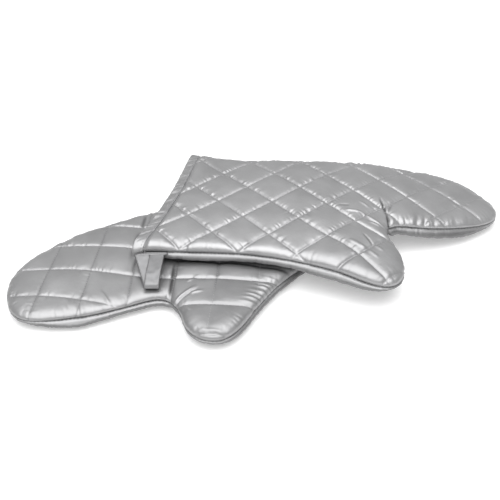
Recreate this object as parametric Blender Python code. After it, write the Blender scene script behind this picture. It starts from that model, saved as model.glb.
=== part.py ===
"""Pair of quilted oven mitts lying one across the other, each with a hanging loop.

Every mitt is drawn in its own pattern plane: x runs from the cuff to the fingertips and y towards
the thumb. Both faces are domes over that plane, sewn together all round except at the cuff.
A mitt is then laid down by its Placement. Metres, +Z up.
"""

import math
from collections import namedtuple
from functools import partial

import bmesh
import bpy
import numpy as np
from mathutils.geometry import delaunay_2d_cdt

# Mitt pattern
LENGTH = 0.330  # cuff edge to fingertips, square to the cuff
CUFF_WIDTH = 0.190  # mouth, laid flat
OUTLINE_SHARES = [  # control points of the seam line: x of LENGTH, y of CUFF_WIDTH
    (0.000, -0.550),
    (0.190, -0.548),
    (0.400, -0.577),
    (0.610, -0.705),
    (0.790, -0.785),
    (0.925, -0.733),
    (1.015, -0.530),
    (1.006, -0.390),
    (0.928, -0.281),
    (0.804, -0.155),
    (0.719, -0.128),
    (0.672, -0.045),
    (0.704, 0.114),
    (0.763, 0.226),
    (0.745, 0.388),
    (0.661, 0.416),
    (0.473, 0.312),
    (0.196, 0.352),
    (0.000, 0.445),
]

# Layers of one face, outside to inside
SHELL_THICKNESS = 0.0009
WADDING_THICKNESS = 0.0020
LINING_THICKNESS = 0.0008
CLEARANCE = 0.0003  # between pieces that touch

# Form of a padded face
FACE_HEIGHT = 0.0085  # seam plane to the quilting lines
EDGE_ROLL = 0.015  # width over which a face curves down to the seam
EDGE_SQUARENESS = 4
SHOULDER_SHARE = 0.09  # of EDGE_ROLL: first line of mesh up the rolled edge
CROWN_SHARE = 0.29  # of EDGE_ROLL: line where the mesh of the top begins
BULGE_SHARE = 0.29  # of FACE_HEIGHT: the edge stands upright up to this height
LEVEL_SHARE = 0.62  # of EDGE_ROLL: last line of the rolled edge in a cuff section
PUFF_HEIGHT = 0.0025  # rise of each padded diamond over the quilting lines
PUFF_POWER = 0.3  # lower is flatter on top and steeper beside the quilting lines
PUFF_FADE = 0.009  # width over which the puffs die out at the seam and at the cuff
FLAT_CUT = 0.0005  # how far the crests that lie on the table are pressed flat
QUILT_PITCH = 0.0390  # between neighbouring quilting lines
QUILT_ANGLE = math.radians(36.8)
QUILT_STEPS = 4  # mesh steps in one diamond
QUILT_LEAN_SHARE = 0.045  # how strongly the quilting follows the sideways lean of the fingers
LEAN_START_SHARE = 0.27  # of LENGTH

# Seam round the edge
SEAM_RECESS = 0.0015  # seam line behind the edge of the rolled faces
RIM_WALL = 0.0012
ALLOWANCE_WIDTH = 0.0080
ALLOWANCE_THICKNESS = 0.0020

# Cuff
BINDING_WIDTH = 0.010
BINDING_THICKNESS = 0.0010
THREAD_DIAMETER = 0.0006
STITCH_INSET = 0.0020  # stitch line from the inner edge of the binding

# Hanging loop, a tape sewn into the thumb-side seam
LOOP_PLACE = 0.017  # along the pattern, from the cuff edge
LOOP_REACH = 0.043
LOOP_GAP = 0.0085  # between the two legs at the belly
LOOP_BELLY_SHARE = 0.65  # of LOOP_GAP: makes the widest place of the loop that wide
LOOP_TAPE_WIDTH = 0.014
LOOP_TAPE_THICKNESS = 0.0012
LOOP_LEG_SHIFT = 0.0073  # each leg's sideways offset at the seam
LOOP_ROOT_RADIUS = 0.0012
LOOP_ROOT_LENGTH = 0.029
LOOP_ROOT_OUT = (  # swing axis outside the edge of the rolled faces, clear of the binding's stitches
    BINDING_THICKNESS + THREAD_DIAMETER + 3 * CLEARANCE + LOOP_ROOT_RADIUS
)
LOOP_STEPS = 18
TAB_LENGTH = 0.019
TAB_HALF_OUTER = 0.0011
TAB_HALF_INNER = 0.0003
TAB_INSET = 0.0010
TAB_OUT = LOOP_ROOT_OUT - LOOP_ROOT_RADIUS - CLEARANCE

# Mesh
SHELL_EDGE_STEP = 0.0100
INNER_EDGE_STEP = 2 * SHELL_EDGE_STEP  # on every second point of the shell's edge
TIGHT_TURN = math.radians(5)  # the inner layers keep each edge point where the seam turns by more
INNER_GRID_SHARE = 0.8  # of QUILT_PITCH
MARGIN_SHARE = 0.4  # of a mesh step, kept between the edge's own line and the points inside it
INNER_MARGIN_SHARE = 0.2
TINY_SHARE = 1e-6  # of a diamond, so that points on a quilting line round the same way
CURVE_SAMPLES = 24

# Lying of the two mitts
REST_HEIGHT = FACE_HEIGHT + PUFF_HEIGHT - FLAT_CUT  # seam plane of a mitt that lies on the table
UPPER_HEIGHT = 0.0328  # seam plane of the upper mitt where it lies on the lower one
UPPER_DROOP = UPPER_HEIGHT - REST_HEIGHT
DROOP_START_SHARE = 0.56  # of LENGTH
DROOP_POWER = 1.6
THUMB_SAG = 0.005
SAG_ACROSS_SHARE = 0.4  # of CUFF_WIDTH
SAG_START_SHARE = 0.3  # of LENGTH
SAG_END_SHARE = 0.7  # of LENGTH

Placement = namedtuple("Placement", "name place_shares yaw facing quilt_shares droop_share loop_skew loop_droop")
LOWER = Placement(
    name="lower",
    place_shares=(0.1696, 0.2472),  # of LENGTH: middle of the cuff on the table
    yaw=math.radians(50.3),
    facing=-1,
    quilt_shares=(0.928, -0.431),  # one crossing of the quilting lines: x of LENGTH, y of CUFF_WIDTH
    droop_share=0.0,  # of the upper mitt's height and sag
    loop_skew=math.radians(25),
    loop_droop=math.radians(9.3),
)
UPPER = Placement(
    name="upper",
    place_shares=(-0.3131, 0.1033),
    yaw=math.radians(-12.8),
    facing=1,
    quilt_shares=(0.237, -0.220),
    droop_share=1.0,
    loop_skew=0.0,
    loop_droop=math.radians(13.8),
)

# Colours and finishes: base colour, roughness, metallic
FINISHES = {
    "silver_fabric": ((0.60, 0.60, 0.61), 0.42, 0.35),
    "silver_tape": ((0.58, 0.58, 0.59), 0.45, 0.35),
    "wadding": ((0.86, 0.85, 0.82), 0.95, 0.0),
    "lining": ((0.74, 0.74, 0.72), 0.90, 0.0),
    "thread": ((0.50, 0.50, 0.51), 0.60, 0.0),
}


def clear_scene():
    for obj in list(bpy.data.objects):
        bpy.data.objects.remove(obj, do_unlink=True)


def finish_material(name):
    material = bpy.data.materials.get(name)
    if material:
        return material
    colour, roughness, metallic = FINISHES[name]
    material = bpy.data.materials.new(name)
    material.use_nodes = True
    shader = material.node_tree.nodes["Principled BSDF"]
    shader.inputs["Base Color"].default_value = (*colour, 1)
    shader.inputs["Roughness"].default_value = roughness
    shader.inputs["Metallic"].default_value = metallic
    return material


def add_object(name, points, faces, finish, parent=None):
    """A closed mesh from points and faces, with its faces turned outwards."""
    mesh = bpy.data.meshes.new(name)
    mesh.from_pydata([tuple(map(float, point)) for point in points], [], [list(map(int, f)) for f in faces])
    shape = bmesh.new()
    shape.from_mesh(mesh)
    bmesh.ops.recalc_face_normals(shape, faces=shape.faces)
    if shape.calc_volume(signed=True) < 0:
        bmesh.ops.reverse_faces(shape, faces=shape.faces)
    shape.to_mesh(mesh)
    shape.free()
    mesh.shade_smooth()
    mesh.set_sharp_from_angle(angle=math.radians(50))
    mesh.materials.append(finish_material(finish))
    obj = bpy.data.objects.new(name, mesh)
    bpy.context.scene.collection.objects.link(obj)
    if parent:
        obj.parent = parent
        obj.matrix_parent_inverse = parent.matrix_world.inverted()
    return obj


def outline_curve(samples):
    """Uniform cubic B-spline through the pattern's control points."""
    control = np.array(OUTLINE_SHARES) * (LENGTH, CUFF_WIDTH)
    control = np.vstack([2 * control[0] - control[1], control, 2 * control[-1] - control[-2]])
    t = np.linspace(0, 1, samples, endpoint=False)[:, None]
    weights = ((1 - t) ** 3, 3 * t**3 - 6 * t**2 + 4, -3 * t**3 + 3 * t**2 + 3 * t + 1, t**3)
    pieces = []
    for first in range(len(control) - 3):
        span = control[first : first + 4]
        pieces.append(sum(weight * point for weight, point in zip(weights, span)) / 6)
    return np.vstack([*pieces, np.array(OUTLINE_SHARES[-1:]) * (LENGTH, CUFF_WIDTH)])


OUTLINE = outline_curve(CURVE_SAMPLES)
LAYER_START = BINDING_THICKNESS + CLEARANCE  # the layers end this far inside the binding's fold


def edge_at(x):
    """Where the seam line crosses this x, at the back and at the thumb side of the cuff."""
    quarter = len(OUTLINE) // 4
    back = np.interp(x, OUTLINE[:quarter, 0], OUTLINE[:quarter, 1])
    front = np.interp(x, OUTLINE[-quarter:, 0][::-1], OUTLINE[-quarter:, 1][::-1])
    return back, front


def resampled(step):
    """Evenly spaced seam points with their inward normals, from the back of the cuff to the thumb side."""
    run = np.concatenate([[0], np.cumsum(np.hypot(*np.diff(OUTLINE, axis=0).T))])
    places = np.linspace(0, run[-1], max(int(round(run[-1] / step)), 3) + 1)
    points = np.column_stack([np.interp(places, run, OUTLINE[:, axis]) for axis in (0, 1)])
    along = np.gradient(points, axis=0)
    along /= np.hypot(*along.T)[:, None]
    normals = np.column_stack([-along[:, 1], along[:, 0]])
    normals[0] = (0, 1)
    normals[-1] = (0, -1)
    back, front = edge_at(LAYER_START)
    points[0] = (LAYER_START, back)
    points[-1] = (LAYER_START, front)
    return points, normals


def thinned(edge):
    """Every second edge point, and each one where the seam turns tightly."""
    points, normals = edge
    run = np.diff(points, axis=0)
    heading = np.unwrap(np.arctan2(run[:, 1], run[:, 0]))
    keep = np.arange(len(points)) % 2 == 0
    keep[-1] = True
    keep[1:-1] |= np.abs(np.diff(heading)) > TIGHT_TURN
    return points[keep], normals[keep]


def edge_distance(points):
    """Distance of pattern points from the seam line."""
    start, run = OUTLINE[:-1], np.diff(OUTLINE, axis=0)
    offset = points[:, None] - start
    share = np.clip((offset * run).sum(-1) / (run**2).sum(-1), 0, 1)
    return np.sqrt(((offset - share[..., None] * run) ** 2).sum(-1).min(1))


def inside_outline(points):
    corner = OUTLINE
    after = np.roll(corner, -1, axis=0)
    x, y = points[:, :1], points[:, 1:]
    crosses = (corner[:, 1] > y) != (after[:, 1] > y)
    rise = np.where(after[:, 1] == corner[:, 1], 1, after[:, 1] - corner[:, 1])
    at = corner[:, 0] + (y - corner[:, 1]) * (after[:, 0] - corner[:, 0]) / rise
    return (crosses & (x < at)).sum(1) % 2 == 1


def smooth_step(value):
    value = np.clip(value, 0, 1)
    return value * value * (3 - 2 * value)


def crown(distance):
    """Height of the quilting lines over the seam plane, at this distance from the seam."""
    share = 1 - np.clip(distance / EDGE_ROLL, 0, 1)
    return FACE_HEIGHT * (1 - share**EDGE_SQUARENESS) ** (1 / EDGE_SQUARENESS)


def sunk_crown(depth, points):
    """Heights over the seam plane, this deep under the quilting lines."""
    return crown(edge_distance(points)) - depth


def lean(x):
    """Sideways shift of the quilting where the fingers lean away from the thumb."""
    start = LEAN_START_SHARE * LENGTH
    return -QUILT_LEAN_SHARE * np.clip(x - start, 0, None) ** 2 / (LENGTH - start)


def quilt_axes():
    c, s = math.cos(QUILT_ANGLE), math.sin(QUILT_ANGLE)
    return np.array([(c, s), (-s, c)])


def puff(points, quilt_origin):
    """Rise of the padded diamonds over the quilting lines."""
    straight = points - np.column_stack([0 * points[:, 0], lean(points[:, 0])])
    cell = (straight - quilt_origin) @ quilt_axes().T / QUILT_PITCH
    part = cell - np.floor(cell + TINY_SHARE)
    product = np.clip(4 * part * (1 - part), 0, None).prod(1)
    seam_fade = smooth_step((edge_distance(points) - SEAM_RECESS) / PUFF_FADE)
    cuff_fade = smooth_step((points[:, 0] - BINDING_WIDTH) / PUFF_FADE)
    return PUFF_HEIGHT * product**PUFF_POWER * seam_fade * cuff_fade


def grid_points(quilt_origin, step, inset, start):
    """Points on and between the quilting lines, no nearer to the seam than inset, from start on along x."""
    reach = int(2 * LENGTH / step)
    lattice = np.array([(i, j) for i in range(-reach, reach) for j in range(-reach, reach)]) * step
    points = lattice @ quilt_axes() + quilt_origin
    points[:, 1] += lean(points[:, 0])
    points = points[(points[:, 0] > start) & inside_outline(points)]
    return points[edge_distance(points) > inset]


def surface(rings, cap_inset, cap_height, edge, step, interior):
    """One side of a layer: open rings up from the seam, then a cap with interior points.

    Returns its points, its faces, the indices of its lowest ring and of its line along the mouth.
    """
    points, normals = edge
    count = len(points)
    layers = []
    for inset, height in rings:
        layers.append(np.column_stack([points + normals * inset, np.full(count, height)]))
    cap_ring = points + normals * cap_inset
    mouth_steps = max(int(CUFF_WIDTH / step), 2)
    mouth_shares = np.arange(1, mouth_steps)[:, None] / mouth_steps
    mouth_line = cap_ring[-1] + (cap_ring[0] - cap_ring[-1]) * mouth_shares
    flat = np.vstack([cap_ring, mouth_line, interior])
    layers.append(np.column_stack([flat, cap_height(flat)]))
    solid_points = np.vstack(layers)
    faces = []
    for level in range(len(rings)):
        for i in range(count - 1):
            low = level * count + i
            faces.append((low, low + 1, low + 1 + count, low + count))
    base = len(rings) * count
    border = list(range(count + len(mouth_line)))
    _, _, triangles, origins, _, _ = delaunay_2d_cdt([tuple(p) for p in flat], [], [border], 1, 1e-9)
    for triangle in triangles:
        faces.append(tuple(base + origins[corner][0] for corner in triangle))
    low_ring = list(range(count))
    ends = [level * count + count - 1 for level in range(len(rings) + 1)]
    starts = [level * count for level in range(len(rings), -1, -1)]
    mouth_path = ends + list(range(base + count, base + count + len(mouth_line))) + starts
    return solid_points, faces, low_ring, mouth_path


def layer_solid(outer, inner):
    """A closed layer between two surfaces that were made with the same edge points and mouth step."""
    outer_points, faces, outer_low, outer_mouth = outer
    inner_points, inner_faces, inner_low, inner_mouth = inner
    shift = len(outer_points)
    faces = list(faces) + [tuple(shift + i for i in reversed(face)) for face in inner_faces]
    inner_low = [shift + i for i in inner_low]
    inner_mouth = [shift + i for i in inner_mouth]
    for i in range(len(outer_low) - 1):
        faces.append((outer_low[i + 1], outer_low[i], inner_low[i], inner_low[i + 1]))
    for i in range(len(outer_mouth) - 1):
        faces.append((outer_mouth[i + 1], outer_mouth[i], inner_mouth[i], inner_mouth[i + 1]))
    return np.vstack([outer_points, inner_points]), faces


class Mitt:
    """One mitt: its placement, and the layers built in its pattern plane."""

    def __init__(self, placement):
        self.at = placement
        self.place = np.array(placement.place_shares) * LENGTH
        self.quilt_origin = np.array(placement.quilt_shares) * (LENGTH, CUFF_WIDTH)
        self.shell_edge = resampled(SHELL_EDGE_STEP)
        self.inner_edge = thinned(self.shell_edge)
        self.allowance_inset = SEAM_RECESS + RIM_WALL + CLEARANCE + CLEARANCE / 3
        self.wadding_inset = self.allowance_inset + ALLOWANCE_WIDTH
        self.lining_inset = self.wadding_inset + 3 * CLEARANCE
        self.wadding_base = ALLOWANCE_THICKNESS / 2 + CLEARANCE
        self.lining_cap = self.lining_inset + WADDING_THICKNESS + CLEARANCE
        self.lining_inner_cap = self.lining_cap + LINING_THICKNESS + 2 * CLEARANCE
        step = INNER_GRID_SHARE * QUILT_PITCH
        margin = INNER_MARGIN_SHARE * step
        self.core = grid_points(self.quilt_origin, step, self.lining_inner_cap + margin, margin)

    def seam_height(self, x, y):
        """Height of the seam plane over the table."""
        start = DROOP_START_SHARE * LENGTH
        bend = UPPER_DROOP * np.clip((x - start) / (LENGTH - start), 0, None) ** DROOP_POWER
        along = smooth_step((x / LENGTH - SAG_START_SHARE) / (SAG_END_SHARE - SAG_START_SHARE))
        sag = THUMB_SAG * smooth_step(y / CUFF_WIDTH / SAG_ACROSS_SHARE) * along
        return REST_HEIGHT + self.at.droop_share * (UPPER_DROOP - bend - sag)

    def world(self, points, side=1):
        """Pattern points with heights over the seam plane, on the upper or under side, as laid down."""
        x, y = self.at.facing * points[:, 0], -points[:, 1]
        c, s = math.cos(self.at.yaw), math.sin(self.at.yaw)
        z = self.seam_height(points[:, 0], points[:, 1]) + side * points[:, 2]
        level = np.column_stack([c * x - s * y, s * x + c * y]) + self.place
        return np.column_stack([level, np.maximum(z, 0)])

    def heading(self, vector):
        """A pattern direction, as laid down."""
        x, y = self.at.facing * vector[0], -vector[1]
        c, s = math.cos(self.at.yaw), math.sin(self.at.yaw)
        return np.array([c * x - s * y, s * x + c * y, 0.0])

    def name(self, piece):
        return f"{self.at.name}_{piece}"

    def shell(self):
        gap = CLEARANCE / 2
        shoulder = SHOULDER_SHARE * EDGE_ROLL
        cap = CROWN_SHARE * EDGE_ROLL
        bulge = BULGE_SHARE * FACE_HEIGHT
        rims = [(SEAM_RECESS, gap), (0, bulge), (shoulder, crown(shoulder))]
        inner_shoulder = shoulder + 2 * RIM_WALL
        inner_rims = [
            (SEAM_RECESS + RIM_WALL, gap),
            (2 * RIM_WALL, bulge + RIM_WALL / 3),
            (inner_shoulder, crown(inner_shoulder) - SHELL_THICKNESS - RIM_WALL / 2),
        ]
        step = QUILT_PITCH / QUILT_STEPS
        margin = MARGIN_SHARE * step
        hem = BINDING_WIDTH + 3 * CLEARANCE
        back, front = edge_at(hem)
        hem_y = np.arange(back + cap + margin, front - cap - margin, step)
        hem_line = np.column_stack([np.full(len(hem_y), hem), hem_y])
        fine = grid_points(self.quilt_origin, step, cap + margin, hem + margin)
        fine = np.vstack([hem_line, fine])

        def outer_height(flat):
            return crown(edge_distance(flat)) + puff(flat, self.quilt_origin)

        inner_height = partial(sunk_crown, SHELL_THICKNESS)
        outer = surface(rims, cap, outer_height, self.shell_edge, SHELL_EDGE_STEP, fine)
        inner = surface(inner_rims, cap + CLEARANCE, inner_height, self.shell_edge, SHELL_EDGE_STEP, self.core)
        return layer_solid(outer, inner)

    def wadding(self):
        top = SHELL_THICKNESS + 2 * CLEARANCE
        bottom = top + WADDING_THICKNESS
        cap = CROWN_SHARE * EDGE_ROLL + 4 * CLEARANCE
        low = 2 * (RIM_WALL + CLEARANCE)
        rims = [(self.allowance_inset, self.wadding_base), (low, BULGE_SHARE * FACE_HEIGHT)]
        inner_cap = self.wadding_inset + WADDING_THICKNESS + LINING_THICKNESS
        inner_middle = (self.wadding_inset + inner_cap) / 2
        inner_rims = [
            (self.wadding_inset, self.wadding_base),
            (inner_middle, (self.wadding_base + crown(inner_cap) - bottom) / 2),
        ]
        return self.plain_layer(rims, cap, top, inner_rims, inner_cap, bottom)

    def lining(self):
        top = SHELL_THICKNESS + WADDING_THICKNESS + 3 * CLEARANCE
        bottom = top + LINING_THICKNESS
        gap = CLEARANCE / 2
        rims = [(self.lining_inset, gap), (self.lining_inset + CLEARANCE, RIM_WALL)]
        inner_rims = [
            (self.lining_inset + LINING_THICKNESS, gap),
            (self.lining_inset + LINING_THICKNESS + CLEARANCE, RIM_WALL - CLEARANCE),
        ]
        return self.plain_layer(rims, self.lining_cap, top, inner_rims, self.lining_inner_cap, bottom)

    def plain_layer(self, rims, cap, depth, inner_rims, inner_cap, inner_depth):
        """A smooth layer that lies this deep under the quilting lines."""
        sides = []
        for side_rims, side_cap, side_depth in ((rims, cap, depth), (inner_rims, inner_cap, inner_depth)):
            height = partial(sunk_crown, side_depth)
            sides.append(surface(side_rims, side_cap, height, self.inner_edge, INNER_EDGE_STEP, self.core))
        return layer_solid(*sides)

    def seam_allowance(self):
        """The turned-in strip where both faces are sewn together."""
        points, normals = self.inner_edge
        half = ALLOWANCE_THICKNESS / 2
        corners = [
            (self.allowance_inset, -half),
            (self.allowance_inset, half),
            (self.wadding_inset, half),
            (self.wadding_inset, -half),
        ]
        rings = []
        for inset, z in corners:
            rings.append(np.column_stack([points + normals * inset, np.full(len(points), z)]))
        return tube_solid(np.stack(rings, axis=1))

    def mouth_section(self, x, outset):
        """Outer section of the cuff at this x, grown outwards: a closed loop of (y, height)."""
        back, front = edge_at(x)
        insets = np.array([0, SHOULDER_SHARE, CROWN_SHARE, LEVEL_SHARE]) * EDGE_ROLL
        heights = crown(insets)
        heights[0] = BULGE_SHARE * FACE_HEIGHT
        return grown_section(back, front, insets, heights, outset)

    def lining_section(self, x, inset):
        """Inner section of the cuff at this x, drawn in: a closed loop of (y, height)."""
        back, front = edge_at(x)
        depth = SHELL_THICKNESS + WADDING_THICKNESS + LINING_THICKNESS + 3 * CLEARANCE
        start = self.lining_inset + LINING_THICKNESS + CLEARANCE
        rise = WADDING_THICKNESS + LINING_THICKNESS
        insets = start + np.array([0, rise, rise + BINDING_THICKNESS, 2 * rise + BINDING_THICKNESS])
        heights = crown(insets) - depth
        heights[0] = RIM_WALL - CLEARANCE
        return grown_section(back, front, insets, heights, -inset)

    def cuff_binding(self):
        """A tape folded over the edge of the mouth, outside and inside."""
        clear, full = CLEARANCE, CLEARANCE + BINDING_THICKNESS
        rings = []
        for x, section in (
            (BINDING_WIDTH, self.mouth_section(BINDING_WIDTH, full)),
            (0.0, self.mouth_section(0.0, full)),
            (0.0, self.lining_section(0.0, full)),
            (BINDING_WIDTH, self.lining_section(BINDING_WIDTH, full)),
            (BINDING_WIDTH, self.lining_section(BINDING_WIDTH, clear)),
            (BINDING_THICKNESS, self.lining_section(BINDING_THICKNESS, clear)),
            (BINDING_THICKNESS, self.mouth_section(BINDING_THICKNESS, clear)),
            (BINDING_WIDTH, self.mouth_section(BINDING_WIDTH, clear)),
        ):
            rings.append(np.column_stack([np.full(len(section), x), section]))
        return closed_sweep(np.stack(rings, axis=1))

    def binding_stitching(self):
        """The row of thread round the outside of the binding."""
        radius = THREAD_DIAMETER / 2
        x = BINDING_WIDTH - STITCH_INSET
        rise = CLEARANCE + BINDING_THICKNESS + CLEARANCE
        rings = []
        for turn in (0, 0.25, 0.5, 0.75):
            angle = 2 * math.pi * turn
            section = self.mouth_section(x, rise + radius * (1 + math.sin(angle)))
            rings.append(np.column_stack([np.full(len(section), x + radius * math.cos(angle)), section]))
        return closed_sweep(np.stack(rings, axis=1))

    def seam_frame(self, x):
        """Point of the thumb-side seam at this x, with the direction along the seam and the way out."""
        half = len(OUTLINE) // 2
        side = OUTLINE[half:][::-1]
        near = int(np.argmax(side[:, 0] > x))
        along = side[near] - side[near - 1]
        along /= np.hypot(*along)
        out = np.array([-along[1], along[0]])
        place = side[near - 1] + along * (x - side[near - 1][0]) / along[0]
        return place, along, out

    def loop_axis(self):
        """World centre and direction of the swing axis; a positive turn lifts the loop."""
        place, along, out = self.seam_frame(LOOP_PLACE)
        centre = place + out * LOOP_ROOT_OUT
        middle = self.world(np.array([[*centre, 0.0]]))[0]
        return middle, np.cross(self.heading(out), (0, 0, 1))

    def loop_points(self, sideways, reach, rise):
        """Points of the loop from its own frame, turned down to where it hangs, as laid down."""
        middle, _ = self.loop_axis()
        _, along, out = self.seam_frame(LOOP_PLACE)
        c, s = math.cos(self.at.loop_droop), math.sin(self.at.loop_droop)
        outward, upward = c * reach + s * rise, c * rise - s * reach
        level = np.outer(sideways, self.heading(along)) + np.outer(outward, self.heading(out))
        return middle + level + np.outer(upward, (0, 0, 1))

    def hanging_loop(self):
        """A tape that leaves the seam on one leg, turns and comes back on the other."""
        turn = np.linspace(0, 2 * math.pi, LOOP_STEPS + 1)
        reach = LOOP_REACH * np.sin(turn / 2) ** 2
        rise = LOOP_BELLY_SHARE * LOOP_GAP * np.sin(turn) * np.sin(turn / 2)
        path = np.column_stack([reach, rise])
        run = np.gradient(path, axis=0)
        run[0] = path[1]
        run[-1] = -path[-2]
        run /= np.hypot(*run.T)[:, None]
        normal = np.column_stack([-run[:, 1], run[:, 0]]) * LOOP_TAPE_THICKNESS / 2
        shift = LOOP_LEG_SHIFT * np.cos(turn / 2) + math.tan(self.at.loop_skew) * reach
        rings = []
        for side, face in ((-1, -1), (1, -1), (1, 1), (-1, 1)):
            at = path + face * normal
            rings.append(self.loop_points(shift + side * LOOP_TAPE_WIDTH / 2, at[:, 0], at[:, 1]))
        return tube_solid(np.stack(rings, axis=1))

    def loop_root(self):
        """The folded end of the tape that turns in the seam."""
        angles = np.linspace(0, 2 * math.pi, 8, endpoint=False)
        half = LOOP_ROOT_LENGTH / 2
        rings = []
        for angle in angles:
            ends = np.array([-half, half])
            reach = np.full(2, LOOP_ROOT_RADIUS * math.cos(angle))
            rise = np.full(2, LOOP_ROOT_RADIUS * math.sin(angle))
            rings.append(self.loop_points(ends, reach, rise))
        return tube_solid(np.stack(rings, axis=1))

    def loop_tab(self):
        """The stitched end of the loop's tape, held between the two faces."""
        place, along, out = self.seam_frame(BINDING_WIDTH + 3 * CLEARANCE + TAB_LENGTH / 2)
        ends = np.array([-TAB_LENGTH / 2, TAB_LENGTH / 2])
        rings = []
        for reach, half in (
            (-TAB_INSET, -TAB_HALF_INNER),
            (TAB_OUT, -TAB_HALF_OUTER),
            (TAB_OUT, TAB_HALF_OUTER),
            (-TAB_INSET, TAB_HALF_INNER),
        ):
            flat = place + np.outer(ends, along) + out * reach
            rings.append(np.column_stack([flat, np.full(2, half)]))
        return tube_solid(np.stack(rings, axis=1))

    def build(self):
        middle, direction = self.loop_axis()
        body = add_empty(self.name("mitt"), self.world(np.array([[0.0, 0.0, 0.0]]))[0])
        swing = add_empty(self.name("loop_swing"), middle)
        swing.parent = body
        swing.matrix_parent_inverse = body.matrix_world.inverted()
        for side, word in ((1, "top"), (-1, "under")):
            for piece, make, finish in (
                ("shell", self.shell, "silver_fabric"),
                ("wadding", self.wadding, "wadding"),
                ("lining", self.lining, "lining"),
            ):
                points, faces = make()
                add_object(self.name(f"{word}_{piece}"), self.world(points, side), faces, finish, body)
        for piece, make, finish in (
            ("seam_allowance", self.seam_allowance, "silver_fabric"),
            ("cuff_binding", self.cuff_binding, "silver_tape"),
            ("binding_stitching", self.binding_stitching, "thread"),
            ("loop_tab", self.loop_tab, "silver_tape"),
        ):
            points, faces = make()
            add_object(self.name(piece), self.world(points), faces, finish, body)
        loop = add_object(self.name("hanging_loop"), *self.hanging_loop(), "silver_tape", swing)
        root = add_object(self.name("loop_root_guide"), *self.loop_root(), "silver_tape", swing)
        root.hide_render = True
        root.display_type = "WIRE"
        join = loop.modifiers.new("root", "BOOLEAN")
        join.operation = "UNION"
        join.solver = "EXACT"
        join.object = root
        return middle, direction


def grown_section(back, front, insets, heights, outset):
    """A flat rounded loop between two seam edges, moved outwards by outset along its normals."""
    left = np.column_stack([back + insets, heights])
    middle = np.linspace(back + insets[-1], front - insets[-1], 7)[1:-1]
    top = np.column_stack([middle, np.full(len(middle), heights[-1])])
    right = np.column_stack([front - insets[::-1], heights[::-1]])
    upper = np.vstack([left, top, right])
    lower = upper[::-1] * (1, -1)
    loop = np.vstack([upper, lower])
    before, after = np.roll(loop, 1, axis=0), np.roll(loop, -1, axis=0)
    first, second = loop - before, after - loop
    first /= np.hypot(*first.T)[:, None]
    second /= np.hypot(*second.T)[:, None]
    normal = np.column_stack([-(first + second)[:, 1], (first + second)[:, 0]])
    normal /= np.hypot(*normal.T)[:, None]
    stretch = 1 / np.sqrt((1 + (first * second).sum(1)) / 2)
    return loop + normal * (outset * stretch)[:, None]


def tube_solid(rings):
    """Closed tube through stations of corner points, with flat ends."""
    stations, corners = rings.shape[:2]
    faces = [tuple(range(corners))[::-1], tuple((stations - 1) * corners + i for i in range(corners))]
    for station in range(stations - 1):
        for i in range(corners):
            j = (i + 1) % corners
            low = station * corners
            faces.append((low + i, low + j, low + corners + j, low + corners + i))
    return rings.reshape(-1, 3), faces


def closed_sweep(rings):
    """Closed ring through stations of corner points."""
    stations, corners = rings.shape[:2]
    faces = []
    for station in range(stations):
        low, high = station * corners, (station + 1) % stations * corners
        for i in range(corners):
            j = (i + 1) % corners
            faces.append((low + i, low + j, high + j, high + i))
    return rings.reshape(-1, 3), faces


def add_empty(name, location):
    empty = bpy.data.objects.new(name, None)
    empty.location = location
    bpy.context.scene.collection.objects.link(empty)
    bpy.context.view_layer.update()
    return empty


def main():
    clear_scene()
    for placement in (LOWER, UPPER):
        middle, direction = Mitt(placement).build()
        print(placement.name, "loop axis at", middle.tolist(), "along", direction.tolist())


main()
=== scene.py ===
"""Pair of quilted silver oven mitts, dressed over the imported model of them.

Each mitt is drawn in its pattern plane: x runs from the cuff to the fingertips, y towards the thumb
and the height is over the seam plane. Both faces are padded domes over that plane. A mitt is then
laid down by its Placement, as in the model. Metres, +Z up.
"""

import math
from collections import namedtuple

import bpy
import numpy as np
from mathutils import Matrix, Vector, noise
from mathutils.bvhtree import BVHTree
from mathutils.geometry import delaunay_2d_cdt


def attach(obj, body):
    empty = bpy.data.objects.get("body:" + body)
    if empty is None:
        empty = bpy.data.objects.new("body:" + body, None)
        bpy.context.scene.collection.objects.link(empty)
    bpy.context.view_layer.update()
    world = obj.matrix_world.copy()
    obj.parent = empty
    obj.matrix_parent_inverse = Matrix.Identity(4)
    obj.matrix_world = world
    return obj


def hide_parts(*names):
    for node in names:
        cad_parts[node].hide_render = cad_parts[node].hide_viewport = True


bl_info = {
    "name": "Quilted Oven Mitts",
    "version": (1, 0, 0),
    "blender": (4, 5, 0),
    "location": "View3D > Sidebar > Mitts",
    "description": "Builds a pair of quilted silver oven mitts lying one across the other",
    "category": "Add Mesh",
}

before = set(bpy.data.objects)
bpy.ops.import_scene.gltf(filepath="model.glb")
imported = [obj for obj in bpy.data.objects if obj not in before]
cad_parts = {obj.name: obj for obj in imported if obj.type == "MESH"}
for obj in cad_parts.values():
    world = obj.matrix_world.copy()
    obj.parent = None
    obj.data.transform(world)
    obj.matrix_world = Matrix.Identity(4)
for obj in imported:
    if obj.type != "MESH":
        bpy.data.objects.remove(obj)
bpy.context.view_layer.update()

# Mitt pattern, as in the model
LENGTH = 0.330  # cuff edge to fingertips
CUFF_WIDTH = 0.190
OUTLINE_SHARES = (  # control points of the seam line: x of LENGTH, y of CUFF_WIDTH
    (0.000, -0.550), (0.190, -0.548), (0.400, -0.577), (0.610, -0.705), (0.790, -0.785),
    (0.925, -0.733), (1.015, -0.530), (1.006, -0.390), (0.928, -0.281), (0.804, -0.155),
    (0.719, -0.128), (0.672, -0.045), (0.704, 0.114), (0.763, 0.226), (0.745, 0.388),
    (0.661, 0.416), (0.473, 0.312), (0.196, 0.352), (0.000, 0.445),
)
SHELL_THICKNESS = 0.0009
WADDING_THICKNESS = 0.0020
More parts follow.
